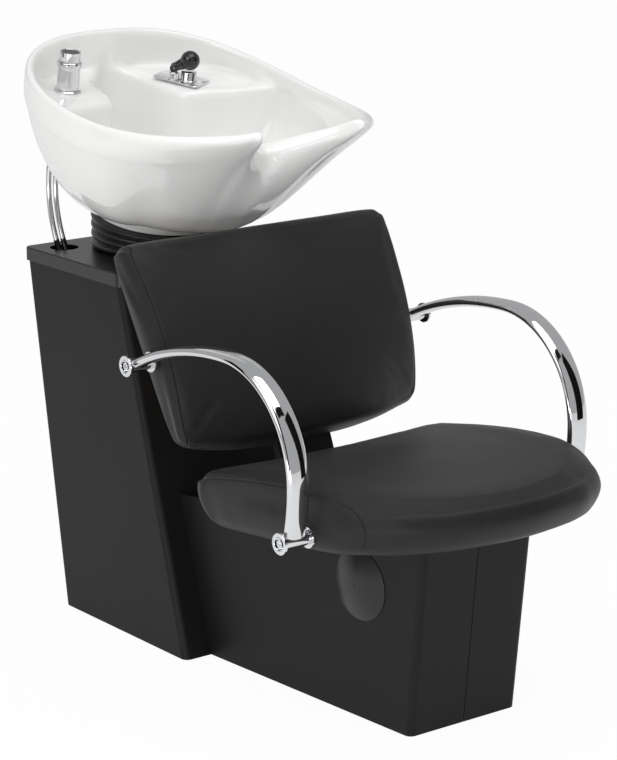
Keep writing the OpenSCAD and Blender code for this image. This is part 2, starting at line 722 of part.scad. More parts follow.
// An arc of the tube in the plane x = arm_x, with its turns counted from the rear
module tube_arc(y, z, r, from, turn) {
    translate([arm_x, y, z]) rotate([90, 0, 90]) rotate([0, 0, from])
        rotate_extrude(angle = turn, $fn = 96) translate([r, 0]) oval();
}
module barrel(side_x, board_x) {
    x0 = side_x + washer_t;
    along_x(barrel_out - x0, barrel_d / 2, x0);
    along_x(flange_t, flange_d / 2, barrel_out - flange_t);
    along_x(x0 - board_x + 1, neck_d / 2, board_x);
}
module barrel_bores() {
    along_x(200, screw_d / 2 + thread_clear, barrel_out - 150);
    along_x(recess_t + 1, recess_d / 2, barrel_out - recess_t);
}
module arm() {
    top_turn = asin(arm_back_reach / arm_top_r);
    difference() {
        union() {
            tube_arc(-arm_y, arm_z - arm_top_r, arm_top_r, 90, -top_turn);
            tube_arc(-arm_y, arm_z - arm_front_r, arm_front_r, 90, 90);
            tube_arc(-arm_y - arm_front_r + arm_leg_r, arm_z - arm_front_r, arm_leg_r, 180,
                asin(arm_leg / arm_leg_r));
            at_rear_pin() barrel(back_side_x, back_rail_x);
            at_front_pin() barrel(seat_side_x, seat_board_x);
        }
        at_rear_pin() barrel_bores();
        at_front_pin() barrel_bores();
    }
}
module left_arm() { color(chrome) mirror([1, 0, 0]) arm(); }
module right_arm() { color(chrome) arm(); }
module arm_screw(inner) {
    head_x = barrel_out - recess_t;
    difference() {
        union() {
            along_x(head_x - inner + 1, screw_d / 2, inner);
            along_x(screw_head[1], screw_head[0] / 2, head_x);
        }
        translate([head_x + screw_head[1] - 4, 0, 0]) rotate([0, 90, 0]) cylinder(h = 5, d = 7, $fn = 6);
    }
}
module arm_screws() {
    color(chrome) both_sides() {
        at_rear_pin() arm_screw(back_half(rear_pin_v) - rail_in - rail_w + 4);
        at_front_pin() arm_screw(seat_w / 2 - 80);
    }
}
module arm_washer(side_x) {
    difference() {
        along_x(washer_t, washer_d / 2, side_x);
        along_x(washer_t + 2, neck_d / 2 + thread_clear, side_x - 1);
    }
}
module arm_washers() {
    color(chrome) both_sides() {
        at_rear_pin() arm_washer(back_side_x);
        at_front_pin() arm_washer(seat_side_x);
    }
}

// Tilt gear: a bracket on the lid and a yoke under the bowl turn on two bolts
module at_pivot() { translate([0, pivot_y, pivot_z]) children(); }
bracket_t = 5;
bracket_r = yoke_r;
ear_x = yoke_x + ear_t + disc_t;
module at_bracket_screws() {
    for (a = [45 : 90 : 315])
        translate([(lid_opening_d + 2 * bracket_r) / 4 * cos(a),
            pivot_y + (lid_opening_d + 2 * bracket_r) / 4 * sin(a),
            tower_h + lid_h]) children();
}
module ear(x, far, r) {
    translate([x, -r, min(0, far)]) cube([ear_t, 2 * r, abs(far)]);
    along_x(ear_t, r, x);
}
module tilt_bracket() {
    color(black_steel) difference() {
        union() {
            translate([0, pivot_y, tower_h + lid_h]) cylinder(h = bracket_t, r = bracket_r);
            at_pivot() both_sides() ear(ear_x, -pivot_up, ear_r);
        }
        translate([0, pivot_y, tower_h]) cylinder(h = big, d = lid_opening_d);
        at_pivot() along_x(big, pivot_d / 2 + thread_clear, -big / 2);
        at_bracket_screws() translate([0, 0, -5]) cylinder(h = 20, d = 6.4);
    }
}
module bracket_screws() {
    color(zinc) at_bracket_screws() {
        translate([0, 0, bracket_t]) cylinder(h = 4, d = 11, $fn = 6);
        translate([0, 0, -sheet - 5]) cylinder(h = bracket_t + sheet + 5 + eps, d = 6);
        translate([0, 0, -sheet - 5]) cylinder(h = 5, d = 11, $fn = 6);
    }
}
module pivot_bolts() {
    color(zinc) at_pivot() both_sides() {
        along_x(ear_x + ear_t - yoke_x + 9, pivot_d / 2, yoke_x - 9);
        difference() {
            along_x(6, pivot_d * 0.9, ear_x + ear_t);
            translate([ear_x + ear_t + 3, 0, 0]) rotate([0, 90, 0]) cylinder(h = 4, d = 7, $fn = 6);
        }
    }
}
module pivot_nuts() {
    color(zinc) at_pivot() both_sides() difference() {
        translate([yoke_x - 0.1 - 8, 0, 0]) rotate([0, 90, 0]) cylinder(h = 8, d = pivot_d * 1.9, $fn = 6);
        along_x(20, pivot_d / 2 + thread_clear, yoke_x - 15);
    }
}
module friction_discs() {
    color(black_rubber) at_pivot() both_sides() difference() {
        along_x(disc_t - pivot_clear, ear_r - 1, yoke_x + ear_t + pivot_clear);
        along_x(disc_t + 2, pivot_d / 2 + thread_clear, yoke_x + ear_t - 1);
    }
}
yoke_z = foot_z - gasket_t - yoke_t;
module tilt_yoke() {
    color(black_steel) at_bowl() difference() {
        union() {
            translate([0, 0, yoke_z]) cylinder(h = yoke_t, r = yoke_r);
            both_sides() ear(yoke_x, yoke_z + eps, ear_r);
        }
        translate([0, 0, -1]) cylinder(h = big, d = waste_hole_d);
        along_x(big, pivot_d / 2 + pivot_clear, -big / 2);
    }
}
module bowl_gasket() {
    color(black_rubber) at_bowl() translate([0, 0, foot_z - gasket_t]) difference() {
        cylinder(h = gasket_t, r = yoke_r - 2);
        translate([0, 0, -1]) cylinder(h = big, d = waste_hole_d);
    }
}

// Rubber bellows from the lid to the leaning foot, its folds fanned out behind
function foot_plane(y) = pivot_z + (foot_z - soft_gap) / cos(bowl_lean) + (y - pivot_y) * tan(bowl_lean);
bellows_n = 40;
function bellows_ring(r, t) = [for (j = [0 : bellows_n - 1])
    let(a = 360 * j / bellows_n, y = pivot_y + r * sin(a))
    [r * cos(a), y, mix(tower_h + lid_h, foot_plane(y), t)]];
fold = [[0, 0.75], [0.3, 0.06], [0.5, 0], [0.7, 0.06]];
function bellows_side(in) = concat([for (k = [0 : bellows_ribs - 1]) for (q = fold)
    bellows_ring(bellows_r - in - fold_depth * q[1], (k + q[0]) / bellows_ribs)],
    [bellows_ring(bellows_r - in - fold_depth, 1)]);
module bellows() {
    outer = bellows_side(0);
    inner = bellows_side(rubber_t);
    color(black_rubber) ring_loft(concat(outer, [for (k = [len(inner) - 1 : -1 : 0]) inner[k]]));
}

// Waste: the fitting clamps the bowl on the yoke, and a hose follows its tilt
waste_body_r = waste_hole_d / 2 - 0.25;
cup_r = waste_body_r - 2.5;
module waste_fitting() {
    body = waste_body_r;
    color(chrome) at_bowl() rotate_extrude($fn = 96) difference() {
        union() {
            translate([0, floor_z]) polygon([[0, 0], [body + 12, 0], [body + 12, 0.8], [body + 7, 2.5],
                [0, 2.5]]);
            translate([0, -2]) square([body, floor_z + 3]);
            translate([0, -tailpipe_drop]) square([tailpipe_d / 2, tailpipe_drop]);
        }
        translate([-1, -tailpipe_drop - 1]) square([tailpipe_d / 2 - 1, big]);
        translate([-1, floor_z - 4]) square([cup_r + 1, 20]);
    }
}
module waste_nut() {
    color(zinc) at_bowl() translate([0, 0, yoke_z - 9]) difference() {
        cylinder(h = 9, d = waste_hole_d + 12, $fn = 8);
        translate([0, 0, -1]) cylinder(h = 20, r = waste_body_r + thread_clear);
    }
}
module strainer() {
    r = cup_r - face_gap / 3;
    color(chrome) at_bowl() translate([0, 0, floor_z - 4 + face_gap / 3]) difference() {
        cylinder(h = 2, r = r);
        for (ring = [1 : 3]) for (a = [0 : 60 / ring : 359])
            rotate([0, 0, a]) translate([ring * r * 0.28, 0, -1]) cylinder(h = 5, d = 4.4, $fn = 24);
    }
}
hose_up = tailpipe_drop + face_gap / 3;
tail_end = [0, pivot_y + hose_up * sin(bowl_lean), pivot_z - hose_up * cos(bowl_lean)];
hose_foot = [0, tower_d / 2, waste_pipe_h + face_gap / 3];
function bend(a, b, c, d, t) = mix(mix(mix(a, b, t), mix(b, c, t), t), mix(mix(b, c, t), mix(c, d, t), t), t);
hose_reach = (tail_end[2] - hose_foot[2]) * 0.45;
function hose_at(t) = bend(hose_foot, hose_foot + [0, 0, hose_reach],
    tail_end + hose_reach * [0, sin(bowl_lean), -cos(bowl_lean)], tail_end, t);
function hose_ring(r, t) = let(a = hose_at(max(0, t - 0.001)), b = hose_at(min(1, t + 0.001)),
    v = (b - a) / norm(b - a))
    [for (j = [0 : 11]) hose_at(t) + r * (cos(30 * j) * [1, 0, 0] + sin(30 * j) * [0, v[2], -v[1]])];
module waste_hose() {
    n = 14;
    color(black_rubber) ring_loft(concat([for (k = [0 : n]) hose_ring(waste_pipe_d / 2, k / n)],
        [for (k = [n : -1 : 0]) hose_ring(waste_pipe_d / 2 - rubber_t, k / n)]));
}
module waste_pipe() {
    color(zinc) translate([0, tower_d / 2, 0]) difference() {
        cylinder(h = waste_pipe_h, d = waste_pipe_d);
        translate([0, 0, -1]) cylinder(h = waste_pipe_h + 2, d = waste_pipe_d - 5);
    }
}

// Bowl: loops of stations from the neck rest round a horn to the rear. Each
// station is x, y, z, rim factor, hull fullness, then its basin edge and ledge.
function rise(y) = y > -bowl_fwd ? rear_rise * pow((y + bowl_fwd) / bowl_rear, 2)
    : horn_rise * pow((y + bowl_fwd) / bowl_front, 2);
function inward(p, d) = let(v = [-p[0], -60 - p[1]]) [p[0], p[1]] + v * d / norm(v);
function open_wall(x, y, z, k, p) = let(e = inward([x, y], rim_t * 1.08 * k + 3))
    [x, y, z, k, p, e[0], e[1], min(ledge_z, z - 30), 0];
tip_z = rim_z + rise(-horn_y);
function lip(s, k, p) = open_wall(s * horn_x, -neck_y - (horn_y - neck_y - 10) * pow(s, 1.3),
    neck_z + (tip_z - neck_z - 8) * pow(s, 1.3), k, p);
function side(u, k, p) = let(y = -bowl_fwd - bowl_front * pow(sin(u), 0.976))
    open_wall(bowl_w / 2 * pow(cos(u), 0.976), y, rim_z + rise(y), k, p);
function rear(t) = let(y = -bowl_fwd + bowl_rear * pow(cos(t), 0.769))
    open_wall(bowl_w / 2 * pow(sin(t), 0.769), y, rim_z + rise(y), 1, 1.7);
function ledge(t, x, back) = let(r = rear(t))
    [r[0], r[1], r[2], 1, 1.7, bay_w * x, bowl_rear - bowl_fwd - back, ledge_z, 1];
stations = [lip(0, 1, 1.04), lip(0.3, 1.5, 1.04), lip(0.57, 2, 1.04), lip(0.82, 2.5, 1.05),
    open_wall(horn_x, -horn_y + 2, tip_z - 1, 2.7, 1.06),
        open_wall(horn_x + 12, -horn_y + 4, tip_z, 2.3, 1.08),
    side(59, 1.6, 1.15), side(49, 1.2, 1.28), side(38, 1.05, 1.46), side(26, 1, 1.6), side(13, 1, 1.68),
    rear(90), rear(79), ledge(68, 2.5, 193), ledge(59, 1.4, 177), ledge(50, 1.1, 147), ledge(41, 1, 115),
    ledge(31, 0.92, 85), ledge(20, 0.8, 59), ledge(10, 0.52, 42), rear(0)];
rim_loop = whole_loop(stations, 2);
function share(s) = max(0, min(1, s[8]));
function foot_at(s, r) = let(v = [s[0], s[1] - foot_back]) [0, foot_back] + r * v / norm(v);
function fullness(s, p) = pow(1 - pow(1 - s, p), 1 / p);
function foot_loop(r, z) = [for (s = rim_loop) [each foot_at(s, r), z]];
function hull_loop(t, out = 0) = [for (s = rim_loop) let(f = foot_at(s, foot_r + 7), h = fullness(t, s[4]),
    o = inward(s, -out * max(0, min(1, (s[1] + 330) / 150))))
    [each f + (o - f) * h, mix(foot_z + foot_h, s[2] - 14, t)]];
function rim_ring(in, low) = [for (s = rim_loop) [each inward(s, in * rim_t * s[3]), s[2] - low]];
function wall_loop(t, drop0, drop1) = [for (s = rim_loop) let(l = share(s), e = [s[5], s[6]],
    d = inward(s, rim_t * s[3] * 1.05 + 1)) [each d + (e - d) * mix(t[0], t[1], l),
        s[7] + mix(drop0, drop1, l)]];
function basin_loop(t) = [for (s = rim_loop) let(l = share(s), e = [s[5], s[6]], f = 44 * e / norm(e),
    h = fullness(t, mix(max(1.2, 1.9 * s[4] - 0.99), 2.4, l))) [each f + (e - f) * h,
        mix(floor_z, s[7] - mix(2, 4, l), t)]];
module bowl_skin() {
    loft(concat([foot_loop(foot_r, foot_z), foot_loop(foot_r + 1.5, foot_z + foot_h * 0.55),
        foot_loop(foot_r + 7, foot_z + foot_h)],
        [for (t = [0.015, 0.05, 0.11, 0.19, 0.3, 0.43, 0.57, 0.7, 0.79]) hull_loop(t)],
        [hull_loop(0.82, apron_step), hull_loop(1, apron_step * 0)],
        [for (q = [[0.03, 7], [0.2, 1.5], [0.5, 0], [0.8, 1.5], [0.97, 7], [1.02, 17]]) rim_ring(q[0], q[1])],
        [wall_loop([0, 0], 12, 5), wall_loop([0.4, 0.07], 7, 0), wall_loop([0.75, 0.95], 3, 0)],
        [for (t = [1, 0.9, 0.77, 0.63, 0.49, 0.36, 0.25, 0.15, 0.07, 0.02]) basin_loop(t)],
        [[for (p = basin_loop(0)) p]]));
}
module bowl() {
    color(ceramic) at_bowl() difference() {
        bowl_skin();
        translate([0, 0, foot_z - 5]) cylinder(h = floor_z, d = waste_hole_d);
        at_tails() translate([0, 0, -40]) cylinder(h = 80, d = tail_d + 2 * thread_clear);
        at_spray() translate([0, 0, -shank_l - 4]) cylinder(h = shank_l + 5, d = sleeve_d + 2 * thread_clear);
        at_mixer() at_breaker() translate([0, 0, -26]) cylinder(h = 30, d = 14);
        at_mixer() translate([0, 0, -26]) cylinder(h = 30, d = 14);
    }
}

// Supply tails: two chromed tubes bent so that they slide through the lid
tail_y = 134;
tail_up = 88;
tail_end_l = 60;
module at_tails() { for (x = [0, tail_gap]) translate([-tail_x + x, tail_y, tail_up]) children(); }
module at_tail_end() {
    at_tails() translate([0, -tail_r * (1 - cos(tail_turn)), -tail_r * sin(tail_turn)])
        rotate([-tail_turn, 0, 0])
        children();
}
module supply_tails() {
    straight_d = tail_d - 0.04;
    color(chrome) at_bowl() {
        at_tails() cylinder(h = 38, d = straight_d);
        at_tails() translate([0, -tail_r, 0]) rotate([90, 0, 90]) rotate([0, 0, -tail_turn])
            rotate_extrude(angle = tail_turn, $fn = 96) translate([tail_r, 0]) circle(d = tail_d);
        at_tail_end() translate([0, 0, -tail_end_l]) cylinder(h = tail_end_l, d = straight_d);
    }
}
module tail_nuts() {
    color(zinc) at_bowl() at_tail_end() translate([0, 0, -tail_end_l + 4]) difference() {
        cylinder(h = 12, d = tail_gap - 0.5, $fn = 6);
        translate([0, 0, -1]) cylinder(h = 20, d = tail_d + 2 * thread_clear);
    }
}

// Mixer: a plate on the right ledge with a vacuum breaker and a lever beside it
mixer_top = ledge_z + plate_t;
module at_plate() { at_bowl() translate([plate_x, plate_y, ledge_z]) rotate([0, 0, plate_turn]) children(); }
module at_mixer() { translate([plate_x, plate_y, ledge_z]) rotate([0, 0, plate_turn])
    translate([-turret_in, turret_along, 0]) children(); }
module at_breaker() { rotate([0, 0, -lever_turn]) translate([turret_gap, 0, 0]) children(); }
module mixer_plate() {
    r = 7;
    color(chrome) at_plate() difference() {
        union() {
            translate([-plate_w / 2 + r, -plate_l / 2, 0]) cube([plate_w - 2 * r, plate_l, plate_t]);
            translate([-plate_w / 2, -plate_l / 2 + r, 0]) cube([plate_w, plate_l - 2 * r, plate_t]);
            for (x = [-1, 1]) for (y = [-1, 1])
                translate([x * (plate_w / 2 - r), y * (plate_l / 2 - r), 0]) cylinder(h = plate_t, r = r);
        }
        translate([-turret_in, turret_along, -1]) cylinder(h = 10, d = 12);
    }
}
module vacuum_breaker() {
    color(chrome) at_bowl() at_mixer() at_breaker() translate([0, 0, plate_t])
        rotate_extrude() polygon([[0, 0], [breaker_d / 2 + 2, 0], [breaker_d / 2 + 2, 1.5],
            [breaker_d / 2, 3],
            [breaker_d / 2, breaker_h - 1], [breaker_d / 2 - 1, breaker_h], [0, breaker_h]]);
}
hinge_up = turret_h + 8;
neck_r = 7.5;
lug_t = 5;
module at_turret() { at_bowl() at_mixer() translate([0, 0, plate_t]) rotate([0, 0, -lever_turn])
    children(); }
module mixer_turret() {
    color(chrome) at_turret() difference() {
        union() {
            translate([0, 0, 0.05]) cylinder(h = turret_h - 0.05, r1 = turret_d / 2, r2 = turret_d / 2 - 2.5);
            translate([0, 0, -plate_t - 20]) cylinder(h = 25, d = 11.8);
            translate([-5.5, -lug_t / 2, turret_h - 1]) cube([11, lug_t, hinge_up - turret_h + 1]);
            translate([0, lug_t / 2, hinge_up]) rotate([90, 0, 0]) cylinder(h = lug_t, r = 5.5);
        }
        translate([0, 20, hinge_up]) rotate([90, 0, 0]) cylinder(h = 40, r = 1.5 + thread_clear);
    }
}
module lever_pin() {
    color(zinc) at_turret() translate([0, neck_r - 1, hinge_up]) rotate([90, 0, 0])
        cylinder(h = 2 * neck_r - 2, r = 1.5);
}
ball_dir = atan2(ball_up - hinge_up, turret_gap);
ball_reach = norm([ball_up - hinge_up, turret_gap]);
module at_lever() { at_turret() translate([0, 0, hinge_up]) rotate([0, -ball_dir, 0]) children(); }
module lever_neck() {
    color(black_rubber) at_lever() difference() {
        union() {
            translate([0, neck_r, 0]) rotate([90, 0, 0]) cylinder(h = 2 * neck_r, r = neck_r);
            rotate([0, 90, 0]) cylinder(h = ball_reach - ball_d / 2 + 5, r1 = neck_r, r2 = neck_r + 3);
        }
        translate([0, lug_t / 2 + 0.15, 0]) rotate([90, 0, 0]) cylinder(h = lug_t + 0.3, r = neck_r + 1.5);
        translate([0, 20, 0]) rotate([90, 0, 0]) cylinder(h = 40, r = 1.5 + pivot_clear);
        translate([ball_reach, 0, 0]) sphere(d = ball_d, $fn = 96);
    }
}
module lever_ball() { color(black_rubber) at_lever() translate([ball_reach, 0, 0])
    sphere(d = ball_d, $fn = 96); }

// Spray: it stands in a sleeve on the left ledge and lifts out on its shank
sleeve_d = 34;
shank_d = 24;
shank_l = 36;
module at_spray() { translate([-spray_x, spray_y, ledge_z]) children(); }
module spray_holder() {
    color(chrome) at_bowl() at_spray() rotate_extrude($fn = 96) difference() {
        union() {
            polygon([[0, 0], [holder_d / 2, 0], [holder_d / 2, 2.5], [holder_d / 2 - 3, 5], [0, 5]]);
            translate([0, -shank_l]) square([sleeve_d / 2, shank_l + 1]);
        }
        translate([-1, -shank_l - 1]) square([shank_d / 2 + 1 + pivot_clear, 80]);
    }
}
module spray_body() {
    r = spray_d / 2;
    color(chrome) at_bowl() at_spray() rotate_extrude($fn = 96)
        polygon([[0, -shank_l + 4], [shank_d / 2, -shank_l + 4],
        [shank_d / 2, 5.1], [r - 1, 5.1], [r, 6.5], [r - 1, spray_h * 0.62], [r + 1.5, spray_h * 0.64],
        [r + 2, spray_h * 0.7], [r + 1, spray_h * 0.76], [0, spray_h * 0.76]]);
}
module spray_head() {
    r = spray_d / 2;
    color(chrome) at_bowl() at_spray() translate([0, 0, spray_h * 0.76]) rotate_extrude($fn = 96)
        polygon([[0, 0],
        [r - 1, 0], [r - 1.5, spray_h * 0.18], [r - 2, spray_h * 0.24], [r - 4, spray_h * 0.24],
        [r - 5, spray_h * 0.24 - 2], [0, spray_h * 0.24 - 2]]);
}
module spray_face() {
    r = spray_d / 2 - 5.2;
    color(black_rubber) at_bowl() at_spray() translate([0, 0, spray_h - 2]) difference() {
        cylinder(h = 1.5, r = r);
        for (ring = [1 : 2]) for (a = [0 : 60 / ring : 359])
            rotate([0, 0, a]) translate([ring * r * 0.4, 0, 0.5]) cylinder(h = 5, d = 1.6, $fn = 16);
    }
}

floor_frame();
tower_shell();
tower_lid();
service_panel();
panel_screws();
left_base_shell();
right_base_shell();
base_posts();
base_top();
left_cap();
right_cap();
back_upright();
upright_bolts();
seat_board();
seat_cushion();
back_board();
back_cushion();
left_arm();
right_arm();
arm_screws();
arm_washers();
tilt_bracket();
bracket_screws();
pivot_bolts();
pivot_nuts();
friction_discs();
bellows();
waste_hose();
waste_pipe();
tilt_yoke();
bowl_gasket();
bowl();
waste_fitting();
waste_nut();
strainer();
supply_tails();
tail_nuts();
mixer_plate();
vacuum_breaker();
mixer_turret();
lever_pin();
lever_neck();
lever_ball();
spray_holder();
spray_body();
spray_head();
spray_face();
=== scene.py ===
from math import asin, cos, exp, pi, radians, sin, sqrt, tan

import bmesh
import bpy
import numpy as np
from mathutils import Matrix, Vector
from mathutils.kdtree import KDTree


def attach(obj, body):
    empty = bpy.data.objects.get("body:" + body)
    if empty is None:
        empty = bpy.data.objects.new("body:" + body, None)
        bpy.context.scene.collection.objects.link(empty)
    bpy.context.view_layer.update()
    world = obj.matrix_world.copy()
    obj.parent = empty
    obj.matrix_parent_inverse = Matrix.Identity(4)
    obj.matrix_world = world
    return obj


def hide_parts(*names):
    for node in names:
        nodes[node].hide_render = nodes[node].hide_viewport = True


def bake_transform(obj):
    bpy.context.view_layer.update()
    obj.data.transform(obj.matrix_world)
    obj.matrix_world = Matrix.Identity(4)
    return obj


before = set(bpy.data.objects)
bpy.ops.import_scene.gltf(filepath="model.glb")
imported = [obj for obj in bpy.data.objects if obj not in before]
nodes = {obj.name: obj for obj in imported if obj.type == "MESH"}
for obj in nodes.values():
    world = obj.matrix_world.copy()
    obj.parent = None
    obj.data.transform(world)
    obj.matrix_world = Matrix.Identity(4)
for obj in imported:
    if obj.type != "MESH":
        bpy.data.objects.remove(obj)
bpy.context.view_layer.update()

mm = 0.001

# Floor frame and posts. The frame is a zinc-plated steel plate that is bolted
# to the floor, the posts are square tube that carries the seat, and the bolts
# and screws that hold the unit together have the same dull plating.


class Wire:
    """A shader value on which plain maths adds the Math nodes."""

    def __init__(self, paint, socket):
        self.paint = paint
        self.socket = socket

    def math(self, operation, *values):
        return self.paint.node("ShaderNodeMath", {"operation": operation}, dict(enumerate(values)))

    def __add__(self, other):
        return self.math("ADD", self, other)

    def __radd__(self, other):
        return self.math("ADD", other, self)

    def __sub__(self, other):
        return self.math("SUBTRACT", self, other)

    def __rsub__(self, other):
        return self.math("SUBTRACT", other, self)

    def __mul__(self, other):
        return self.math("MULTIPLY", self, other)

    def __rmul__(self, other):
        return self.math("MULTIPLY", other, self)

    def clamp(self):
        return self.paint.node("ShaderNodeClamp", {}, {0: self})


class Paint:
    """One finish: a Principled shader, the nodes that feed it, and who wears it."""

    def __init__(self, name, **fixed):
        self.material = bpy.data.materials.new(name)
        self.material.use_nodes = True
        self.tree = self.material.node_tree
        self.shader = self.tree.nodes["Principled BSDF"]
        for socket, value in fixed.items():
            self.shader.inputs[socket.replace("_", " ")].default_value = value

    def node(self, kind, settings=None, inputs=None, out=0):
        """Adds a node with its settings and the values or links of its sockets; gives one output."""
        made = self.tree.nodes.new(kind)
        for key, value in (settings or {}).items():
            setattr(made, key, value)
        for key, value in (inputs or {}).items():
            if isinstance(value, Wire):
                self.tree.links.new(value.socket, made.inputs[key])
            else:
                made.inputs[key].default_value = value
        return Wire(self, made.outputs[out])

    def feed(self, socket, wire):
        self.tree.links.new(wire.socket, self.shader.inputs[socket])

    def place(self):
        return self.node("ShaderNodeTexCoord", out="Object")

    def noise(self, scale, detail=3.0, rough=0.55, at=None):
        return self.node("ShaderNodeTexNoise", {}, {"Vector": at or self.place(), "Scale": scale,
                                                    "Detail": detail, "Roughness": rough})

    def cells(self, scale):
        return self.node("ShaderNodeTexVoronoi", {}, {"Vector": self.place(), "Scale": scale})

    def colours(self, share, low, high):
        """Colours the surface from low to high, as share goes from 0 to 1."""
        self.feed("Base Color", self.node("ShaderNodeMix", {"data_type": "RGBA"},
                                          {0: share, 6: (*low, 1), 7: (*high, 1)}, out=2))

    def bump(self, height, strength, depth):
        self.feed("Normal", self.node("ShaderNodeBump", {}, {"Strength": strength, "Distance": depth,
                                                             "Height": height}))

    def wear(self, *pieces):
        """Gives this finish to pieces, or to CAD nodes by their names."""
        for piece in pieces:
            piece = nodes.get(piece, piece) if isinstance(piece, str) else piece
            if not piece.material_slots:
                piece.data.materials.append(self.material)
            for slot in piece.material_slots:
                slot.material = self.material


zinc = Paint("zinc_plate", Metallic=1.0)
grain = zinc.noise(38, 5, 0.6)
spangle = zinc.cells(160)
zinc.colours(grain * 0.6 + spangle * 0.4, (0.42, 0.43, 0.44), (0.64, 0.65, 0.66))
zinc.feed("Roughness", grain * 0.22 + 0.3)
zinc.bump(grain, 0.15, 0.0006)
zinc.wear("floor_frame", "base_posts", "panel_screws", "upright_bolts", "bracket_screws", "pivot_bolts",
          "pivot_nuts", "waste_nut", "tail_nuts", "lever_pin")

# Tower and base. Both are folded from steel sheet and coated with a satin
# black powder that has a faint orange peel; the lid, a moulded tray, and the
# domed side caps are black plastic with a finer, smoother face.
powder = Paint("black_powder_coat", Specular_IOR_Level=0.2)
cloud = powder.noise(7, 3)
peel = powder.noise(900, 2, 0.5)
powder.colours(cloud, (0.0075, 0.0075, 0.0077), (0.0105, 0.0105, 0.0108))
powder.feed("Roughness", cloud * 0.08 + peel * 0.1 + 0.36)
powder.bump(peel, 0.22, 0.0004)
powder.wear("tower_shell", "service_panel", "left_base_shell", "right_base_shell", "base_top",
            "back_upright", "tilt_bracket", "tilt_yoke")

moulded = Paint("black_moulding", Specular_IOR_Level=0.5)
haze = moulded.noise(12, 4)
pores = moulded.noise(1500, 1)
moulded.colours(haze, (0.006, 0.006, 0.0062), (0.009, 0.009, 0.0094))
moulded.feed("Roughness", haze * 0.1 + 0.24)
moulded.bump(pores, 0.12, 0.0003)
moulded.wear("tower_lid", "left_cap", "right_cap")

# Boards. Both cushions are built on birch plywood, which shows only from
# below and behind, with its plies along the cut edges.
ply = Paint("plywood")
plank = ply.node("ShaderNodeMapping", {}, {0: ply.place(), "Scale": (3, 22, 22)})
rings = ply.noise(3.2, 6, 0.65, plank)
plies = ply.node("ShaderNodeTexWave", {"wave_type": "BANDS", "bands_direction": "Z"},
                 {"Vector": ply.place(), "Scale": 130, "Distortion": 1.5})
ply.colours(rings * 0.8 + plies * 0.2, (0.30, 0.19, 0.10), (0.52, 0.37, 0.22))
ply.feed("Roughness", rings * 0.2 + 0.5)
ply.bump(rings + plies * 0.3, 0.2, 0.0006)
ply.wear("seat_board", "back_board")

# Seat cushion. Foam in black coated fabric: one panel runs over the top and
# down the bowed front, a side panel closes each end, and the two meet in a
# plain seam. It is stapled under the board, and its top is softly dished.
vinyl = Paint("black_upholstery", Specular_IOR_Level=0.3, Sheen_Weight=0.05, Sheen_Roughness=0.5)
pebble = vinyl.cells(1250)
crease = vinyl.noise(420, 4, 0.6)
stretch = vinyl.noise(9, 3, 0.5)
seam = vinyl.node("ShaderNodeAttribute", {"attribute_name": "seam"}, out="Fac")
vinyl.colours(stretch * 0.6 + pebble * 0.3, (0.0075, 0.0075, 0.0077), (0.0125, 0.0125, 0.0129))
vinyl.feed("Roughness", stretch * 0.12 + pebble * 0.1 + 0.36)
vinyl.bump(pebble * 0.7 + crease * 0.5 - seam * 0.5, 0.3, 0.0005)


def smooth_run(points, steps, flip=None, ends=False):
    """Points along smooth curves through rows of points, mirrored at both ends or held there."""
    row = np.array(points, float)
    first, last = (row[1] * flip, row[-2] * flip) if not ends else (row[0], row[-1])
    row = np.concatenate([[first], row, [last]])
    t = (np.arange(steps) / steps).reshape(-1, *[1] * (row.ndim - 1))
    run = [0.5 * (2 * b + (c - a) * t + (2 * a - 5 * b + 4 * c - d) * t ** 2
                  + (3 * b - a - 3 * c + d) * t ** 3) for a, b, c, d in zip(row, row[1:], row[2:], row[3:])]
    return np.concatenate(run + [row[-2:-1]])


def whole_loop(stations, steps):
    """A closed loop through stations on one side, mirrored in the plane x = 0.

    A station's values 0 and 5 are places along x, which change sign on the other side."""
    flip = np.ones(len(stations[0]))
    flip[::5] = -1
    half = smooth_run(stations, steps, flip)
    return np.concatenate([half, half[-2:0:-1] * flip])


def placed(points, turn, at):
    """Points of a leaning assembly in the unit's frame, in metres."""
    a = radians(turn)
    x, y, z = np.moveaxis(np.asarray(points, float), -1, 0)
    return np.stack([x + at[0], y * cos(a) - z * sin(a) + at[1], y * sin(a) + z * cos(a) + at[2]], -1) * mm


def skin(name, loops, ring=False):
    """A piece whose faces run over a stack of loops, closed at its two ends or on itself."""
    loops = np.asarray(loops)
    count, around = loops.shape[:2]
    mesh = bpy.data.meshes.new(name)
    faces = []
    for i in range(count if ring else count - 1):
        here, there = i * around, (i + 1) % count * around
        faces += [(here + j, here + (j + 1) % around, there + (j + 1) % around, there + j)
                  for j in range(around)]
    if not ring:
        faces += [tuple(range(around - 1, -1, -1)), tuple(range((count - 1) * around, count * around))]
    mesh.from_pydata(loops.reshape(-1, 3).tolist(), [], faces)
    piece = bpy.data.objects.new(name, mesh)
    bpy.context.scene.collection.objects.link(piece)
    work = bmesh.new()
    work.from_mesh(mesh)
    if work.calc_volume(signed=True) < 0:
        bmesh.ops.reverse_faces(work, faces=work.faces)
    work.to_mesh(mesh)
    work.free()
    mesh.shade_smooth()
    return piece


def alone(piece):
    """Selects one piece and nothing else, for the operators."""
    bpy.ops.object.select_all(action="DESELECT")
    piece.select_set(True)
    bpy.context.view_layer.objects.active = piece


def add_modifier(piece, kind, **settings):
    made = piece.modifiers.new(kind.lower(), kind)
    for key, value in settings.items():
        setattr(made, key, value)
    return made


def applied(piece, kind, **settings):
    """Adds a modifier and makes its result the mesh."""
    made = add_modifier(piece, kind, **settings)
    alone(piece)
    bpy.ops.object.modifier_apply(modifier=made.name)


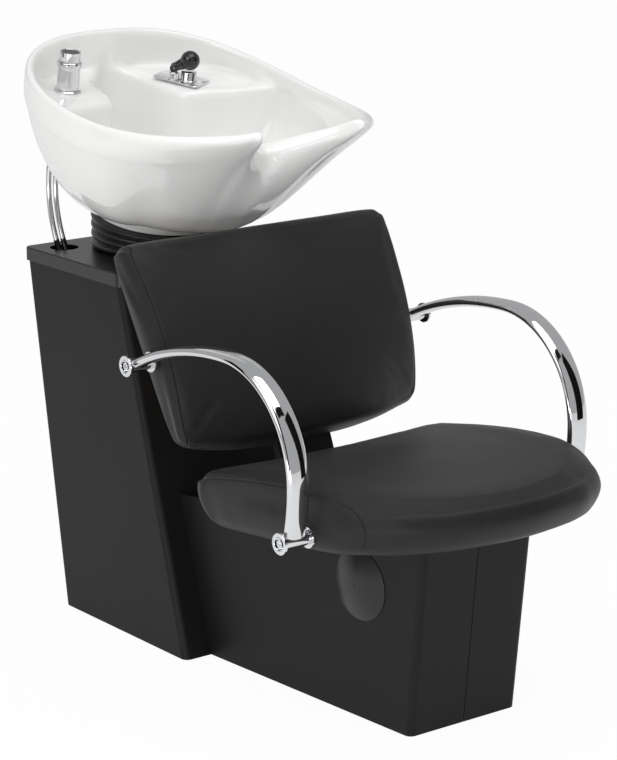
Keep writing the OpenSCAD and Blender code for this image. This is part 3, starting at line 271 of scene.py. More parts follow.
def stuffed(piece, held, cap, pressure=4.0, voxel=0.006, frames=20, nearest=10):
    """Swells a cushion as its foam fills the cover: a cloth copy is blown up, and the piece follows it.

    held gives, for each point, how firmly it is stapled or sewn down, from 0 to 1. No point moves
    further than cap."""
    swell = piece.copy()
    swell.data = piece.data.copy()
    swell.name = "swell"
    bpy.context.scene.collection.objects.link(swell)
    applied(swell, "REMESH", mode="VOXEL", voxel_size=voxel)
    count = len(swell.data.vertices)
    rest = np.empty(count * 3)
    swell.data.vertices.foreach_get("co", rest)
    rest = rest.reshape(-1, 3)
    firm = held(rest)
    group = swell.vertex_groups.new(name="held")
    for index in np.nonzero(firm > 0.02)[0]:
        group.add([int(index)], float(firm[index]), "REPLACE")
    cloth = add_modifier(swell, "CLOTH")
    cloth.settings.use_pressure = True
    cloth.settings.uniform_pressure_force = pressure
    cloth.settings.vertex_group_mass = "held"
    cloth.settings.quality = 5
    cloth.settings.mass = 0.3
    cloth.settings.tension_stiffness = cloth.settings.compression_stiffness = 18
    cloth.settings.effector_weights.gravity = 0
    scene = bpy.context.scene
    for number in range(1, frames + 1):
        scene.frame_set(number)
    shaped = swell.evaluated_get(bpy.context.evaluated_depsgraph_get())
    blown = np.empty(count * 3)
    shaped.data.vertices.foreach_get("co", blown)
    move = blown.reshape(-1, 3) - rest
    length = np.linalg.norm(move, axis=1, keepdims=True)
    move *= np.tanh(length / cap) * cap / np.maximum(length, 1e-9)
    scene.frame_set(1)
    bpy.data.objects.remove(swell)
    tree = KDTree(count)
    for index, point in enumerate(rest):
        tree.insert(point, index)
    tree.balance()
    for vertex in piece.data.vertices:
        near = tree.find_n(vertex.co, nearest)
        weight = np.array([1 / (d + 0.002) ** 2 for _, _, d in near])
        vertex.co += Vector(weight @ move[[i for _, i, _ in near]] / weight.sum())


def sewn(piece, line, width, depth, reach=0.009):
    """Sinks a seam into a piece along a line of points, on a mesh made finer beside it."""
    line = np.asarray(line)
    work = bmesh.new()
    work.from_mesh(piece.data)

    def away(points):
        best = np.full(len(points), 9.0)
        for a, b in zip(line, line[1:]):
            along = b - a
            t = np.clip((points - a) @ along / max(along @ along, 1e-12), 0, 1)
            best = np.minimum(best, np.linalg.norm(points - a - t[:, None] * along, axis=1))
        return best

    for near in (reach, reach * 0.6):
        work.verts.ensure_lookup_table()
        gap = away(np.array([v.co for v in work.verts]))
        edges = [e for e in work.edges if min(gap[v.index] for v in e.verts) < near]
        bmesh.ops.subdivide_edges(work, edges=edges, cuts=1, use_grid_fill=True)
        work.verts.index_update()
    work.normal_update()
    gap = away(np.array([v.co for v in work.verts]))
    layer = work.verts.layers.float.new("seam")
    for vertex, distance in zip(work.verts, gap):
        share = float(np.exp(-(distance / width) ** 2))
        shoulder = float(np.exp(-((distance - 2.6 * width) / (1.6 * width)) ** 2))
        vertex[layer] = share
        vertex.co -= vertex.normal * (depth * share - depth * 0.12 * shoulder)
    work.to_mesh(piece.data)
    work.free()
    piece.data.shade_smooth()


seat_wide, seat_long, seat_bow, seat_high = 518, 478, 98, 102
seat_turn, seat_at = -5.7, (0, -105, 289.5)
board_in, board_high, tuck = 24, 36, 40
row_steps, pocket_rows = 4, 2
seat_fine = 10
seam_wide, seam_deep = 0.0011, 0.0016


def seat_edge(rear, side, front):
    """Half the cushion's outline, from the front's middle to the rear's, set in by three measures."""
    half, long = seat_wide / 2 - side, seat_long - front
    return [[0, -long - seat_bow], [half * 0.4, -long - seat_bow * 0.84],
            [half * 0.62, -long - seat_bow * 0.58], [half * 0.79, -long - seat_bow * 0.25],
            [half * 0.895, 12 - long], [half - 8, 45 - long], [half, 90 - long], [half + 1, -seat_long / 2],
            [half, -rear - 62], [half - 4, -rear - 22], [half * 0.88, -rear - 2], [half * 0.45, -rear],
            [0, -rear]]


def seat_top(x, y):
    """The height of the top, which falls towards its ends and is dished in the middle."""
    return (seat_high - 15 * ((-y - seat_long * 0.54) / 200) ** 2
            - 9 * (1 - (x / seat_wide * 2) ** 2) * (1 - ((-y - seat_long * 0.52) / seat_long) ** 2))


def seat_flat(rear, side, front, high):
    return whole_loop([[x, y, high] for x, y in seat_edge(rear, side, front)], seat_fine)


def seat_lid(loop, share, low):
    loop = loop * [share, 1, 1]
    loop[:, 1] = -seat_long * 0.52 + (loop[:, 1] + seat_long * 0.52) * share
    loop[:, 2] = seat_top(loop[:, 0], loop[:, 1]) - low
    return loop


crown = seat_flat(27, 9, 60, 0)
seat_body = [seat_flat(58, 9, 8 + tuck, 0.3), seat_flat(27, 2, 2 + tuck / 2, 13), seat_flat(9, 0, 7, 40),
             seat_flat(8, 0, 17, 64),
             seat_lid(seat_flat(15, 2, 33, 0), 1, 13), seat_lid(crown, 1, 2.5)] + [
    seat_lid(crown, share, low) for share, low in
    ((0.965, 0), (0.86, -1), (0.7, 0), (0.5, 0), (0.28, 0), (0.1, 0), (0.02, 0))]
seat_rows = smooth_run(seat_body, row_steps, ends=True)
pocket = seat_flat(62, board_in, board_in + tuck + 6, 0)
seat_rows = np.concatenate([[pocket + [0, 0, board_high + 0.5], pocket + [0, 0, 0.4]], seat_rows])
seat_rows = placed(seat_rows, seat_turn, seat_at)
seat_cover = skin("seat_cover", seat_rows)


def on_rows(rows, stations, fine):
    """Points on a cushion at (loop, station) numbers of the stations that shaped it."""
    around = rows.shape[1]
    points = []
    for loop, station in smooth_run(stations, 12, ends=True):
        row, column = pocket_rows + loop * row_steps, station * fine % around
        i, j = int(row), int(column)
        u, v = row - i, column - j
        above, beside = min(i + 1, len(rows) - 1), (j + 1) % around
        points.append((rows[i, j] * (1 - v) + rows[i, beside] * v) * (1 - u)
                      + (rows[above, j] * (1 - v) + rows[above, beside] * v) * u)
    return np.array(points)


def grid_of(piece, shape):
    """The places of a skin's points, as its loops."""
    flat = np.empty(shape[0] * shape[1] * 3)
    piece.data.vertices.foreach_get("co", flat)
    return flat.reshape(*shape, 3)


def stapled(turn, at):
    """How firmly a cover is held, for the points of a cushion whose board lies at a turn and a place."""
    def firmness(points):
        local = (points / mm - at) @ np.array(Matrix.Rotation(radians(turn), 3, "X"))
        return np.clip(1 - (local[:, 2] - 4) / 10, 0, 1)
    return firmness


def seamed(cover, rows, stations, fine):
    """Sews the same seam at both sides of a cushion."""
    for flip in (1, -1):
        line = [(row, flip * station) for row, station in stations]
        sewn(cover, on_rows(rows, line, fine), seam_wide, seam_deep)


stuffed(seat_cover, stapled(seat_turn, seat_at), 0.003)
seat_rows = grid_of(seat_cover, seat_rows.shape[:2])
seat_seam = [(0.2, 4.35), (1.0, 4.35), (2.0, 4.4), (3.0, 4.5), (3.75, 4.7), (4.15, 5.2), (4.3, 6), (4.3, 7),
             (4.3, 8), (4.25, 9), (4.1, 9.6), (3.4, 10.0), (2.0, 10.1), (0.6, 10.1)]
seamed(seat_cover, seat_rows, seat_seam, seat_fine)
vinyl.wear(seat_cover)
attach(seat_cover, "unit")
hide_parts("seat_cushion")

# Back cushion. The same foam and cover on its own railed board: the front
# panel is drawn over the top and the bottom, and a boxed panel closes each
# side, sewn to the front panel along its bowed edge.
back_low, back_top, back_high, back_thick, swell_out = 494, 552, 352, 73, 9
back_turn, back_at = 90 - 22.9, (0, -48, 388)
back_fine = 12


def back_half(v):
    """Half the cushion's width at a height v up its board."""
    return (back_low + (back_top - back_low) * v / back_high) / 2


def back_edge(inset):
    """Half the cushion's outline, from the bottom's middle to the top's."""
    high = back_high - inset
    low, top = back_half(inset) - inset, back_half(high) - inset
    return [[0, inset - 20], [low * 0.5, inset - 16], [low - 50, inset - 3], [low - 13, inset + 9],
            [low + 1, inset + 42], [(low + top) / 2, (inset + high) / 2], [top - 2, high - 34],
            [top - 8, high - 9], [top - 34, high], [top * 0.5, high], [0, high]]


def back_swollen(loop, share):
    """A loop whose sides bulge out below."""
    fall = np.clip(1 - loop[:, 1] / (0.68 * back_high), 0, 1) ** 0.8
    loop[:, 0] += swell_out * fall * loop[:, 0] / back_half(loop[:, 1]) * share
    return loop


def back_front(x, v):
    """The height of the front face above the board, crowned across and up."""
    u = v / back_high - 0.5
    edge = back_thick - np.where(u < 0, 36, 29) * (u / 0.5) ** 2
    return edge + (45 - 36 * np.maximum(0, v) / back_high) * (1 - (x / back_half(v)) ** 2)


def back_flat(inset, deep):
    return whole_loop([[x, v, deep] for x, v in back_edge(inset)], back_fine)


def back_side(inset, share, out):
    loop = back_flat(inset, 0)
    loop[:, 2] = share * back_front(loop[:, 0], loop[:, 1])
    return back_swollen(loop, out)


def back_lid(share, low):
    loop = back_swollen(back_flat(9, 0), 1)
    loop[:, 0] *= share
    loop[:, 1] = back_high / 2 + (loop[:, 1] - back_high / 2) * share
    loop[:, 2] = back_front(loop[:, 0], loop[:, 1]) - low
    return loop


back_body = [back_flat(7, 0), back_flat(2, 4), back_side(-1, 0.4, 0), back_side(0, 0.68, 1),
             back_side(4, 0.88, 1),
             back_lid(1, 2)] + [back_lid(share, 0) for share in (0.96, 0.85, 0.66, 0.45, 0.24, 0.08, 0.02)]
back_rows = smooth_run(back_body, row_steps, ends=True)
pocket = back_flat(15.6, 0)
back_rows = np.concatenate([[pocket + [0, 0, 12.4], pocket + [0, 0, 0.05]], back_rows])
back_rows = placed(back_rows, back_turn, back_at)
back_cover = skin("back_cover", back_rows)
stuffed(back_cover, stapled(back_turn, back_at), 0.0025)
back_rows = grid_of(back_cover, back_rows.shape[:2])
back_seam = [(0.3, 2.6), (1.2, 2.65), (2.6, 2.75), (3.7, 3.0), (4.3, 3.4), (4.5, 4), (4.55, 5), (4.5, 6),
             (4.3, 6.7), (3.8, 7.2), (2.6, 7.5), (1.2, 7.7), (0.3, 7.8)]
seamed(back_cover, back_rows, back_seam, back_fine)
vinyl.wear(back_cover)
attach(back_cover, "unit")
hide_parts("back_cushion")

# Arms. Each is an oval steel tube bent in three arcs and welded to two cross
# barrels, polished and chromed all over; the socket screws in the barrels'
# ends and the washers against the cushions are chromed as well.
chrome = Paint("chrome_plate", Metallic=1.0)
smear = chrome.noise(14, 4, 0.6)
chrome.colours(smear, (0.70, 0.71, 0.73), (0.78, 0.785, 0.80))
chrome.feed("Roughness", smear * 0.05 + 0.03)
chrome.bump(chrome.noise(45, 2), 0.02, 0.0008)
chrome.wear("arm_screws", "arm_washers")

arm_at, arm_wide, arm_thick = 289.5, 40, 18
top_r, bend_r, leg_r = 555, 172, 314
arm_high, arm_fore, back_reach, leg = 602, 270, 253, 86
top_turn, leg_turn = asin(back_reach / top_r), asin(leg / leg_r)
rear_neck, rear_shoulder = 249, 269.1
front_neck, front_shoulder = 236.2, 263.4


def arc(y, z, radius, start, turn, count):
    """Points of an arc in the arm's plane, each with the way out from the arc's centre."""
    a = start + turn * np.arange(count) / count
    return [((y + radius * cos(t), z + radius * sin(t)), (cos(t), sin(t))) for t in a]


# The last arc takes one step more than its share, so that the path ends on the front pin.
arm_path = (arc(-arm_fore, arm_high - top_r, top_r, pi / 2 - top_turn, top_turn, 40)
            + arc(-arm_fore, arm_high - bend_r, bend_r, pi / 2, pi / 2, 48)
            + arc(-arm_fore - bend_r + leg_r, arm_high - bend_r, leg_r, pi, leg_turn * 41 / 40, 41))
rear_pin, front_pin = arm_path[0][0], arm_path[-1][0]


def turned(name, profile, at):
    """A lathe piece round an axis along x, from (x, radius) pairs that run round its section."""
    a = np.arange(64) * 2 * pi / 64
    rows = [np.stack([np.full(len(a), x), at[0] + r * np.cos(a), at[1] + r * np.sin(a)], -1) * mm
            for x, r in profile]
    return skin(name, rows, ring=True)


def barrel(name, at, inner, shoulder):
    """A cross barrel: its neck reaches the board, and a flange and a recess take the screw's head."""
    end = arm_at + 28
    return turned(name, [(inner, 4.2), (inner, 9), (shoulder, 9), (shoulder, 11), (shoulder + 0.5, 11.5),
                         (end - 4.5, 11.5), (end - 4.5, 17), (end - 4, 17.5), (end - 0.7, 17.5),
                         (end, 16.8), (end, 11.5), (end - 0.4, 11), (end - 9, 11), (end - 9, 4.2)], at)


def arm_tube(name):
    """The bent tube, whose section is a flattened oval."""
    a = np.arange(48) * 2 * pi / 48
    across = arm_wide / 2 * np.sign(np.sin(a)) * np.abs(np.sin(a)) ** 0.8
    out = arm_thick / 2 * np.cos(a)
    rows = [np.stack([arm_at + across, y + out * u, z + out * v], -1) * mm for (y, z), (u, v) in arm_path]
    return skin(name, rows)


for name, flip in (("right_arm", 1), ("left_arm", -1)):
    tube = arm_tube(name + "_chrome")
    rear_barrel = barrel("rear_barrel", rear_pin, rear_neck, rear_shoulder)
    front_barrel = barrel("front_barrel", front_pin, front_neck, front_shoulder)
    alone(tube)
    rear_barrel.select_set(True)
    front_barrel.select_set(True)
    bpy.ops.object.join()
    work = bmesh.new()
    work.from_mesh(tube.data)
    if flip < 0:
        bmesh.ops.scale(work, vec=(-1, 1, 1), verts=work.verts)
    bmesh.ops.recalc_face_normals(work, faces=work.faces)
    work.to_mesh(tube.data)
    work.free()
    alone(tube)
    bpy.ops.object.shade_smooth_by_angle(angle=radians(35))
    chrome.wear(tube)
    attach(tube, "unit")
    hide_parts(name)

# Tilt gear. Fibre discs between the bracket's and the yoke's ears hold the
# bowl where it is put, a rubber gasket beds its foot, and a folded rubber
# bellows hides the gear from the lid to the leaning foot.
rubber = Paint("black_rubber", Specular_IOR_Level=0.5)
dust = rubber.noise(60, 4, 0.6)
rubber.colours(dust, (0.010, 0.010, 0.010), (0.018, 0.018, 0.018))
rubber.feed("Roughness", dust * 0.16 + 0.26)
rubber.bump(dust, 0.1, 0.0005)
rubber.wear("friction_discs", "bowl_gasket")

pivot = (0, 343, 672)
bowl_turn = 10.5
lid_top, foot_up, bellows_wide, ribs = 643.5, 26.5, 120, 4
rib_deep, end_in, rubber_t = 10, 8, 2.5


def bellows_row(radius, share, fine=96):
    """A ring of the bellows, whose height lies at a share between the flat lid and the leaning foot."""
    a = np.arange(fine) * 2 * pi / fine
    y = pivot[1] + radius * np.sin(a)
    top = pivot[2] + (foot_up - 0.3) / cos(radians(bowl_turn)) + (y - pivot[1]) * tan(radians(bowl_turn))
    return np.stack([radius * np.cos(a), y, lid_top + (top - lid_top) * share], -1) * mm


def bellows_wall(inset):
    """The bellows' wall from the lid to the foot, in round ribs."""
    rows = [bellows_row(bellows_wide - inset - end_in, 0)]
    for rib in range(ribs):
        for k in range(12):
            t = (k + 0.5) / 12
            bulge = sqrt(max(0.0, 1 - (2 * t - 1) ** 2))
            rows.append(bellows_row(bellows_wide - inset - rib_deep * (1 - bulge), (rib + t) / ribs))
    return rows + [bellows_row(bellows_wide - inset - end_in, 1)]


bellows_piece = skin("rubber_bellows", bellows_wall(0) + bellows_wall(rubber_t)[::-1], ring=True)
rubber.wear(bellows_piece)
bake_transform(bellows_piece)
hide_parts("bellows")

# Waste. A chromed fitting with a strainer sits in the bowl, a plated steel
# stub stands in the floor frame, and a rubber hose with a clip at each end
# carries the water down between them, in a bend that meets the leaning bowl.
chrome.wear("waste_fitting", "strainer")
zinc.wear("waste_pipe")
stub_top = (0, 188, 190)
tail, hose_bore = 95, 17.5
tail_foot = (0, pivot[1] + tail * sin(radians(bowl_turn)), pivot[2] - tail * cos(radians(bowl_turn)))
lean = np.array([0, sin(radians(bowl_turn)), -cos(radians(bowl_turn))])
reach = (tail_foot[2] - stub_top[2]) * 0.45
guide = np.array([stub_top, np.add(stub_top, (0, 0, reach)), np.add(tail_foot, reach * lean), tail_foot],
                 float)


def hose_row(radius, t):
    """A ring round the hose's curve, at a share t of its way up."""
    a, b, c, d = guide
    s = 1 - t
    spot = a * s ** 3 + 3 * b * s * s * t + 3 * c * s * t * t + d * t ** 3
    way = 3 * (b - a) * s * s + 6 * (c - b) * s * t + 3 * (d - c) * t * t
    way /= np.linalg.norm(way)
    turn = np.arange(40)[:, None] * 2 * pi / 40
    return (spot + radius * (np.cos(turn) * [1, 0, 0] + np.sin(turn) * [0, way[2], -way[1]])) * mm


def hose_radius(t):
    """The hose's outside: two wound bands where the clips pinch it, plain between."""
    return 20 + 0.35 * sin(60 * pi * t) ** 2 + (1.4 if 0.025 < t < 0.055 or 0.945 < t < 0.975 else 0)


up_hose = np.linspace(0, 1, 81)
hose = skin("waste_hose_cover", [hose_row(hose_radius(t), t) for t in up_hose]
            + [hose_row(hose_bore, t) for t in up_hose[::-1]], ring=True)
rubber.wear(hose)
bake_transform(hose)
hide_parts("waste_hose")

# Bowl. Slip-cast fireclay under a thick white glaze: a deep hull on a round
# foot, a rolled rim that rises to two horns beside the neck rest, and inside a
# long basin with raised ledges at the rear for the mixer and the spray.
glaze = Paint("white_glaze", Coat_Weight=0.35, Coat_Roughness=0.03, Specular_IOR_Level=0.5)
tone = glaze.noise(3.5, 3)
ripple = glaze.noise(16, 2, 0.4)
speck = glaze.noise(700, 2)
glaze.colours(tone, (0.83, 0.83, 0.82), (0.88, 0.88, 0.87))
glaze.feed("Roughness", tone * 0.05 + speck * 0.03 + 0.06)
glaze.bump(ripple, 0.05, 0.002)

bowl_w, bowl_rear, bowl_front, bowl_fwd = 518, 306, 365, 71
rim_z, rear_rise, horn_rise, horn_x, horn_y = 265.5, 37, 64, 103, 403
neck_y, neck_z, rim_t, ledge_z, bay_w, floor_z = 285, 243, 16, 233, 60, 66
foot_r, foot_h, foot_back, apron_step = 112, 15, foot_up * tan(radians(bowl_turn)), 3
hull_r, hull_foot, roll, shell_t, heart_y = foot_r + 7, foot_up + foot_h, 14, 15, -60
basin_foot_r, bore_r, side_bow, rear_bow = 44, 26.2, 0.976, 0.769
knee_out, knee_high, soft_below = 0.31, 0.06, 0.55


def rise(y):
    """How far the rim climbs above its lowest place."""
    return (rear_rise * ((y + bowl_fwd) / bowl_rear) ** 2 if y > -bowl_fwd
            else horn_rise * ((y + bowl_fwd) / bowl_front) ** 2)


def inward(x, y, distance):
    """A point moved towards the basin's heart."""
    way = np.array([-x, heart_y - y])
    return np.array([x, y]) + way * distance / np.linalg.norm(way)


def fullness(t, power):
    """A bulging line from 0 to 1; it is straight where the power is 1."""
    return (1 - (1 - t) ** power) ** (1 / power)


def open_wall(x, y, z, rim, full):
    """A station whose basin wall follows the hull, a shell's thickness inside it."""
    edge_z = min(ledge_z, z - 30)
    hull_in = 1 - fullness((edge_z - hull_foot) / (z - roll - hull_foot), full)
    shell = hull_in * (sqrt(x * x + (y - foot_back) ** 2) - hull_r) + shell_t
    edge = inward(x, y, max(rim_t * 1.08 * rim + 3, shell))
    return [x, y, z, rim, full, edge[0], edge[1], edge_z, 0]


tip_z = rim_z + rise(-horn_y)


def lip(s, rim, full):
    """A station of the neck rest, from its middle at s = 0 to the horn at s = 1."""
    return open_wall(s * horn_x, -neck_y - (horn_y - neck_y - 10) * s ** 1.3,
                     neck_z + (tip_z - neck_z - 8) * s ** 1.3, rim, full)


def side(turn, rim, full):
    """A station of the side, turned in degrees from the widest place towards the horn."""
    y = -bowl_fwd - bowl_front * sin(radians(turn)) ** side_bow
    return open_wall(bowl_w / 2 * cos(radians(turn)) ** side_bow, y, rim_z + rise(y), rim, full)


def rear(turn):
    """A station of the rear, turned in degrees from its middle."""
    y = -bowl_fwd + bowl_rear * max(0.0, cos(radians(turn))) ** rear_bow
    return open_wall(bowl_w / 2 * sin(radians(turn)) ** rear_bow, y, rim_z + rise(y), 1, 1.7)


def ledge(turn, x, back):
    """A rear station whose basin edge is the ledge's front, x half bays out and back from the rear."""
    return rear(turn)[:5] + [bay_w * x, bowl_rear - bowl_fwd - back, ledge_z, 1]


lips = [lip(*row) for row in ((0, 3.3, 1.03), (0.3, 3.1, 1.03), (0.57, 2.7, 1.03), (0.82, 2.2, 1.03))]
horn = [open_wall(horn_x, 2 - horn_y, tip_z - 1, 1.9, 1.05),
        open_wall(horn_x + 12, 5 - horn_y, tip_z, 1.7, 1.05)]
sides = [side(*row) for row in ((59, 1.4, 1.04), (49, 1.2, 1.1), (38, 1.05, 1.2), (26, 1, 1.4),
                                (13, 1, 1.6))]
ledges = [ledge(*row) for row in ((68, 2.5, 193), (59, 1.4, 177), (50, 1.1, 147), (41, 1, 115),
                                  (31, 0.92, 85), (20, 0.8, 59), (10, 0.52, 42))]
stations = lips + horn + sides + [rear(90), rear(79)] + ledges + [rear(0)]
rim = whole_loop(stations, 6)
rim_x, rim_y, rim_up, thick, full, edge_x, edge_y, edge_z, on_ledge = rim.T
on_ledge = np.clip(on_ledge, 0, 1)
outline = np.stack([rim_x, rim_y], -1)
basin_edge = np.stack([edge_x, edge_y], -1)


def eased(loop, rounds):
    """A loop with its corners rounded off."""
    for _ in range(rounds):
        loop = loop / 2 + (np.roll(loop, 1, 0) + np.roll(loop, -1, 0)) / 4
    return loop


open_side = np.sin(np.clip((-50 - rim_y) / 250, 0, 1) * pi / 2)[:, None] ** 2
basin_edge += (eased(basin_edge, 220) - basin_edge) * open_side


def pushed(distance):
    """The rim's outline, moved towards the basin's heart."""
    way = np.stack([-rim_x, heart_y - rim_y], -1)
    return outline + way * (distance / np.linalg.norm(way, axis=1))[:, None]


def foot_row(radius, z):
    """A round line of the foot, with a point under each point of the rim."""
    way = outline - [0, foot_back]
    way = way / np.linalg.norm(way, axis=1, keepdims=True)
    return np.column_stack([[0, foot_back] + radius * way, np.full(len(way), z)])


def hull_row(t, step=0.0):
    """One line of the hull at a share t of its height.

    Towards the front it leaves the foot in a knee, and its corners under the horns are soft. A step
    stands out as the apron that runs round the rear and the sides."""
    start = foot_row(hull_r, 0)[:, :2]
    top = pushed(-step * np.clip((rim_y + 330) / 150, 0, 1))
    knee = knee_out * open_side * (1 - t) * (1 - exp(-t / knee_high))
    row = start + (top - start) * (fullness(t, full)[:, None] + knee)
    crisp = max(0, (t - soft_below) / (1 - soft_below)) ** 2
    row += (eased(row, round(200 + 600 * (1 - t))) - row) * open_side * (1 - crisp)
    return np.column_stack([row, hull_foot + (rim_up - roll - hull_foot) * t])


def rim_row(share, low):
    """One line of the rolled rim; the wide lips of the neck rest slope down into the basin."""
    fall = 4 * (thick - 1) * max(0, share - 0.3) ** 1.5
    return np.column_stack([pushed(share * rim_t * thick), rim_up - low - fall])


def wall_row(out, by_ledge, ledge_drop):
    """One line between the rim and the basin's edge; beside a ledge it keeps to the ledge's top."""
    start = pushed(rim_t * thick * 1.05 + 1)
    share = (out + (by_ledge - out) * on_ledge)[:, None]
    open_z = edge_z + (rim_up - 17 - edge_z) * (1 - out)
    height = open_z + (edge_z + ledge_drop - open_z) * on_ledge
    return np.column_stack([start + (basin_edge - start) * share, height])


def basin_row(t):
    """One line of the basin at a share t of its depth, from the floor up to its edge."""
    start = basin_foot_r * basin_edge / np.linalg.norm(basin_edge, axis=1, keepdims=True)
    open_full = np.maximum(1.2, 1.9 * full - 0.99)
    share = fullness(t, open_full + (2.4 - open_full) * on_ledge)[:, None]
    top = edge_z - 2 - 8 * on_ledge
    return np.column_stack([start + (basin_edge - start) * share, floor_z + (top - floor_z) * t])


bore = bore_r * outline / np.linalg.norm(outline, axis=1, keepdims=True)
bowl_rows = [np.column_stack([bore, np.full(len(bore), z)]) for z in (floor_z - 1.5, foot_up + 1, foot_up)]
bowl_rows += [foot_row(60, foot_up), foot_row(foot_r - 2, foot_up), foot_row(foot_r, foot_up + 1),
              foot_row(foot_r + 1.5, foot_up + foot_h * 0.55), foot_row(foot_r + 6, foot_up + foot_h * 0.96)]
bowl_rows += [hull_row(t) for t in (0.004, 0.02, 0.05, 0.11, 0.19, 0.3, 0.43, 0.57, 0.7, 0.775)]
bowl_rows += [hull_row(0.805, apron_step * 0.5), hull_row(0.83, apron_step),
              hull_row(0.9, apron_step * 0.7), hull_row(1)]
bowl_rows += [rim_row(*row) for row in ((0.03, 7), (0.2, 1.5), (0.5, 0), (0.8, 1.5), (0.97, 7), (1.02, 17))]
bowl_rows += [wall_row(0.3, 0, 5), wall_row(0.6, 0.07, 0), wall_row(0.88, 0.9, 0)]
bowl_rows += [basin_row(t) for t in (1, 0.9, 0.77, 0.63, 0.49, 0.36, 0.25, 0.15, 0.07, 0.02, 0)]
bowl_rows += [np.column_stack([r / basin_foot_r * basin_row(0)[:, :2], np.full(len(rim), floor_z)])
              for r in (36, 28)]
bowl_piece = skin("glazed_bowl", placed(bowl_rows, bowl_turn, pivot), ring=True)
add_modifier(bowl_piece, "SUBSURF", levels=1, render_levels=1)
glaze.wear(bowl_piece)
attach(bowl_piece, "bowl")
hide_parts("bowl")

# Water fittings. Turned and cast brass, chromed like the arms: the two supply
# tails, the mixer with its plate and vacuum breaker, and the hand spray in its
# holder. Each keeps its CAD shape, in one smooth skin.


def polished(name, body, paint, angle=35):
    """A small node's own shape, merged and shaded smooth, so that its gloss runs unbroken."""
    piece = nodes[name].copy()
    piece.data = nodes[name].data.copy()
    piece.name = name + "_" + paint.material.name
    bpy.context.scene.collection.objects.link(piece)
    piece.parent = None
    piece.matrix_world = nodes[name].matrix_world
    work = bmesh.new()
    work.from_mesh(piece.data)
    bmesh.ops.remove_doubles(work, verts=work.verts, dist=1e-6)
    work.to_mesh(piece.data)
    work.free()
    alone(piece)
    bpy.ops.object.transform_apply(location=True, rotation=True, scale=True)
    bpy.ops.object.shade_smooth_by_angle(angle=radians(angle))
    paint.wear(piece)
    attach(piece, body)
    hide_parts(name)


for name in ("supply_tails", "mixer_plate", "vacuum_breaker", "spray_holder"):
    polished(name, "bowl", chrome)
polished("mixer_turret", "turret", chrome)
for name in ("spray_body", "spray_head"):
    polished(name, "spray", chrome)

# Lever and spray face. The mixer's neck and ball and the spray's rose are
# glossy black plastic.
knob = Paint("black_gloss", Coat_Weight=0.3, Coat_Roughness=0.04)
swirl = knob.noise(40, 3)
knob.colours(swirl, (0.006, 0.006, 0.006), (0.012, 0.012, 0.012))
knob.feed("Roughness", swirl * 0.06 + 0.05)
knob.wear("spray_face")
for name in ("lever_neck", "lever_ball"):
    polished(name, "lever", knob, 50)

# Studio. A pale floor and a white backdrop, two soft boxes, a weak low fill,
# and dark flags that draw the dark streaks along the chrome; the camera
# stands where the photograph was taken.
bpy.ops.object.select_all(action="DESELECT")
bpy.ops.mesh.primitive_plane_add(size=60, location=(0, 0, 0))
floor = bpy.context.object
floor.name = "studio_floor"
ground = Paint("studio_white", Base_Color=(0.92, 0.92, 0.92, 1), Roughness=0.9, Specular_IOR_Level=0.1)
seen = ground.node("ShaderNodeLightPath", out="Is Camera Ray")
glossy = ground.node("ShaderNodeLightPath", out="Is Glossy Ray")
through = ground.node("ShaderNodeLightPath", out="Is Transmission Ray")
white = ground.node("ShaderNodeEmission", {}, {"Color": (1, 1, 1, 1), "Strength": 1.0})
mix = ground.node("ShaderNodeMixShader", {}, {0: (seen * 0.96 + glossy * 0.5 + through * 0.96).clamp()})
ground.tree.links.new(ground.shader.outputs[0], mix.socket.node.inputs[1])
ground.tree.links.new(white.socket, mix.socket.node.inputs[2])
ground.tree.links.new(mix.socket, ground.tree.nodes["Material Output"].inputs[0])
ground.wear(floor)

# The camera sees pure white behind the unit. The unit is lit by a softer white, and reflects a dimmer one.
world = bpy.data.worlds.new("studio")
bpy.context.scene.world = world
world.use_nodes = True
tree = world.node_tree
sky_light, less_in_gloss = 0.6, 0.15
path = tree.nodes.new("ShaderNodeLightPath")
plain = tree.nodes["Background"]
pure = tree.nodes.new("ShaderNodeBackground")
plain.inputs[0].default_value = pure.inputs[0].default_value = (1, 1, 1, 1)
dimmed = tree.nodes.new("ShaderNodeMath")
dimmed.operation = "MULTIPLY_ADD"
dimmed.inputs[1].default_value = -less_in_gloss
dimmed.inputs[2].default_value = sky_light
either = tree.nodes.new("ShaderNodeMath")
either.operation = "MAXIMUM"
shown = tree.nodes.new("ShaderNodeMixShader")
for source, target in ((path.outputs["Is Glossy Ray"], dimmed.inputs[0]),
                       (dimmed.outputs[0], plain.inputs[1]),
                       (path.outputs["Is Camera Ray"], either.inputs[0]),
                       (path.outputs["Is Transmission Ray"], either.inputs[1]),
                       (either.outputs[0], shown.inputs[0]),
                       (plain.outputs[0], shown.inputs[1]),
                       (pure.outputs[0], shown.inputs[2]),
                       (shown.outputs[0], tree.nodes["World Output"].inputs[0])):
    tree.links.new(source, target)


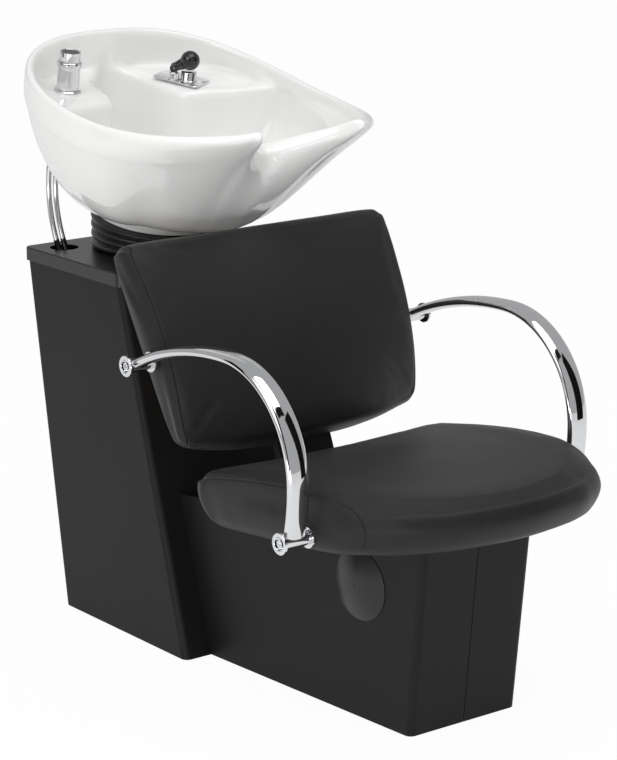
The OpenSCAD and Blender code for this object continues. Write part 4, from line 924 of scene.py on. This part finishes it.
def lamp(name, place, aim, size, power):
    light = bpy.data.lights.new(name, "AREA")
    light.shape = "RECTANGLE"
    light.size, light.size_y = size
    light.energy = power
    box = bpy.data.objects.new(name, light)
    bpy.context.scene.collection.objects.link(box)
    box.location = place
    box.rotation_euler = (Vector(aim) - Vector(place)).to_track_quat("-Z", "Y").to_euler()


middle = (0, 0, 0.55)
lamp("key", (-2.6, -0.6, 2.6), middle, (2.0, 2.4), 27)
lamp("top", (0.0, -0.9, 3.4), middle, (2.6, 2.2), 32)
lamp("fill", (-2.6, -1.9, 0.25), (0, 0.1, 0.85), (2.4, 0.5), 17)

flag_black = Paint("flag_black", Base_Color=(0.01, 0.01, 0.01, 1), Roughness=1.0, Specular_IOR_Level=0.0)


def flag(name, place, aim, size):
    """A dark panel outside the picture, which only reflections see."""
    bpy.ops.mesh.primitive_plane_add(size=1, location=place)
    panel = bpy.context.object
    panel.name = name
    panel.scale = (*size, 1)
    panel.rotation_euler = (Vector(aim) - Vector(place)).to_track_quat("-Z", "Y").to_euler()
    panel.visible_camera = panel.visible_diffuse = panel.visible_shadow = False
    flag_black.wear(panel)


flag("flag_left", (-2.0, -1.9, 1.3), middle, (0.8, 3.0))
flag("flag_right", (1.9, -2.4, 1.4), middle, (1.3, 3.2))
flag("flag_over", (0.2, -1.9, 2.9), middle, (2.2, 0.5))
flag("flag_rear", (-2.3, 1.6, 1.2), middle, (0.8, 2.6))

camera_data = bpy.data.cameras.new("photo_view")
camera = bpy.data.objects.new("photo_view", camera_data)
bpy.context.scene.collection.objects.link(camera)
camera_data.sensor_fit = "AUTO"
camera_data.sensor_width = 36.0
camera_data.lens = 129.51
camera_data.clip_end = 50
camera_place = (-2.7134, -3.6031, 1.6338)
right = Vector((0.79112, -0.61166, 0))
up = Vector((0.15349, 0.19852, 0.96801))
forward = Vector((0.59209, 0.76581, -0.25094))
camera.matrix_world = (Matrix.Translation(camera_place)
                       @ Matrix((right, up, -forward)).transposed().to_4x4())
bpy.context.scene.camera = camera
bpy.context.scene.view_settings.view_transform = "Standard"
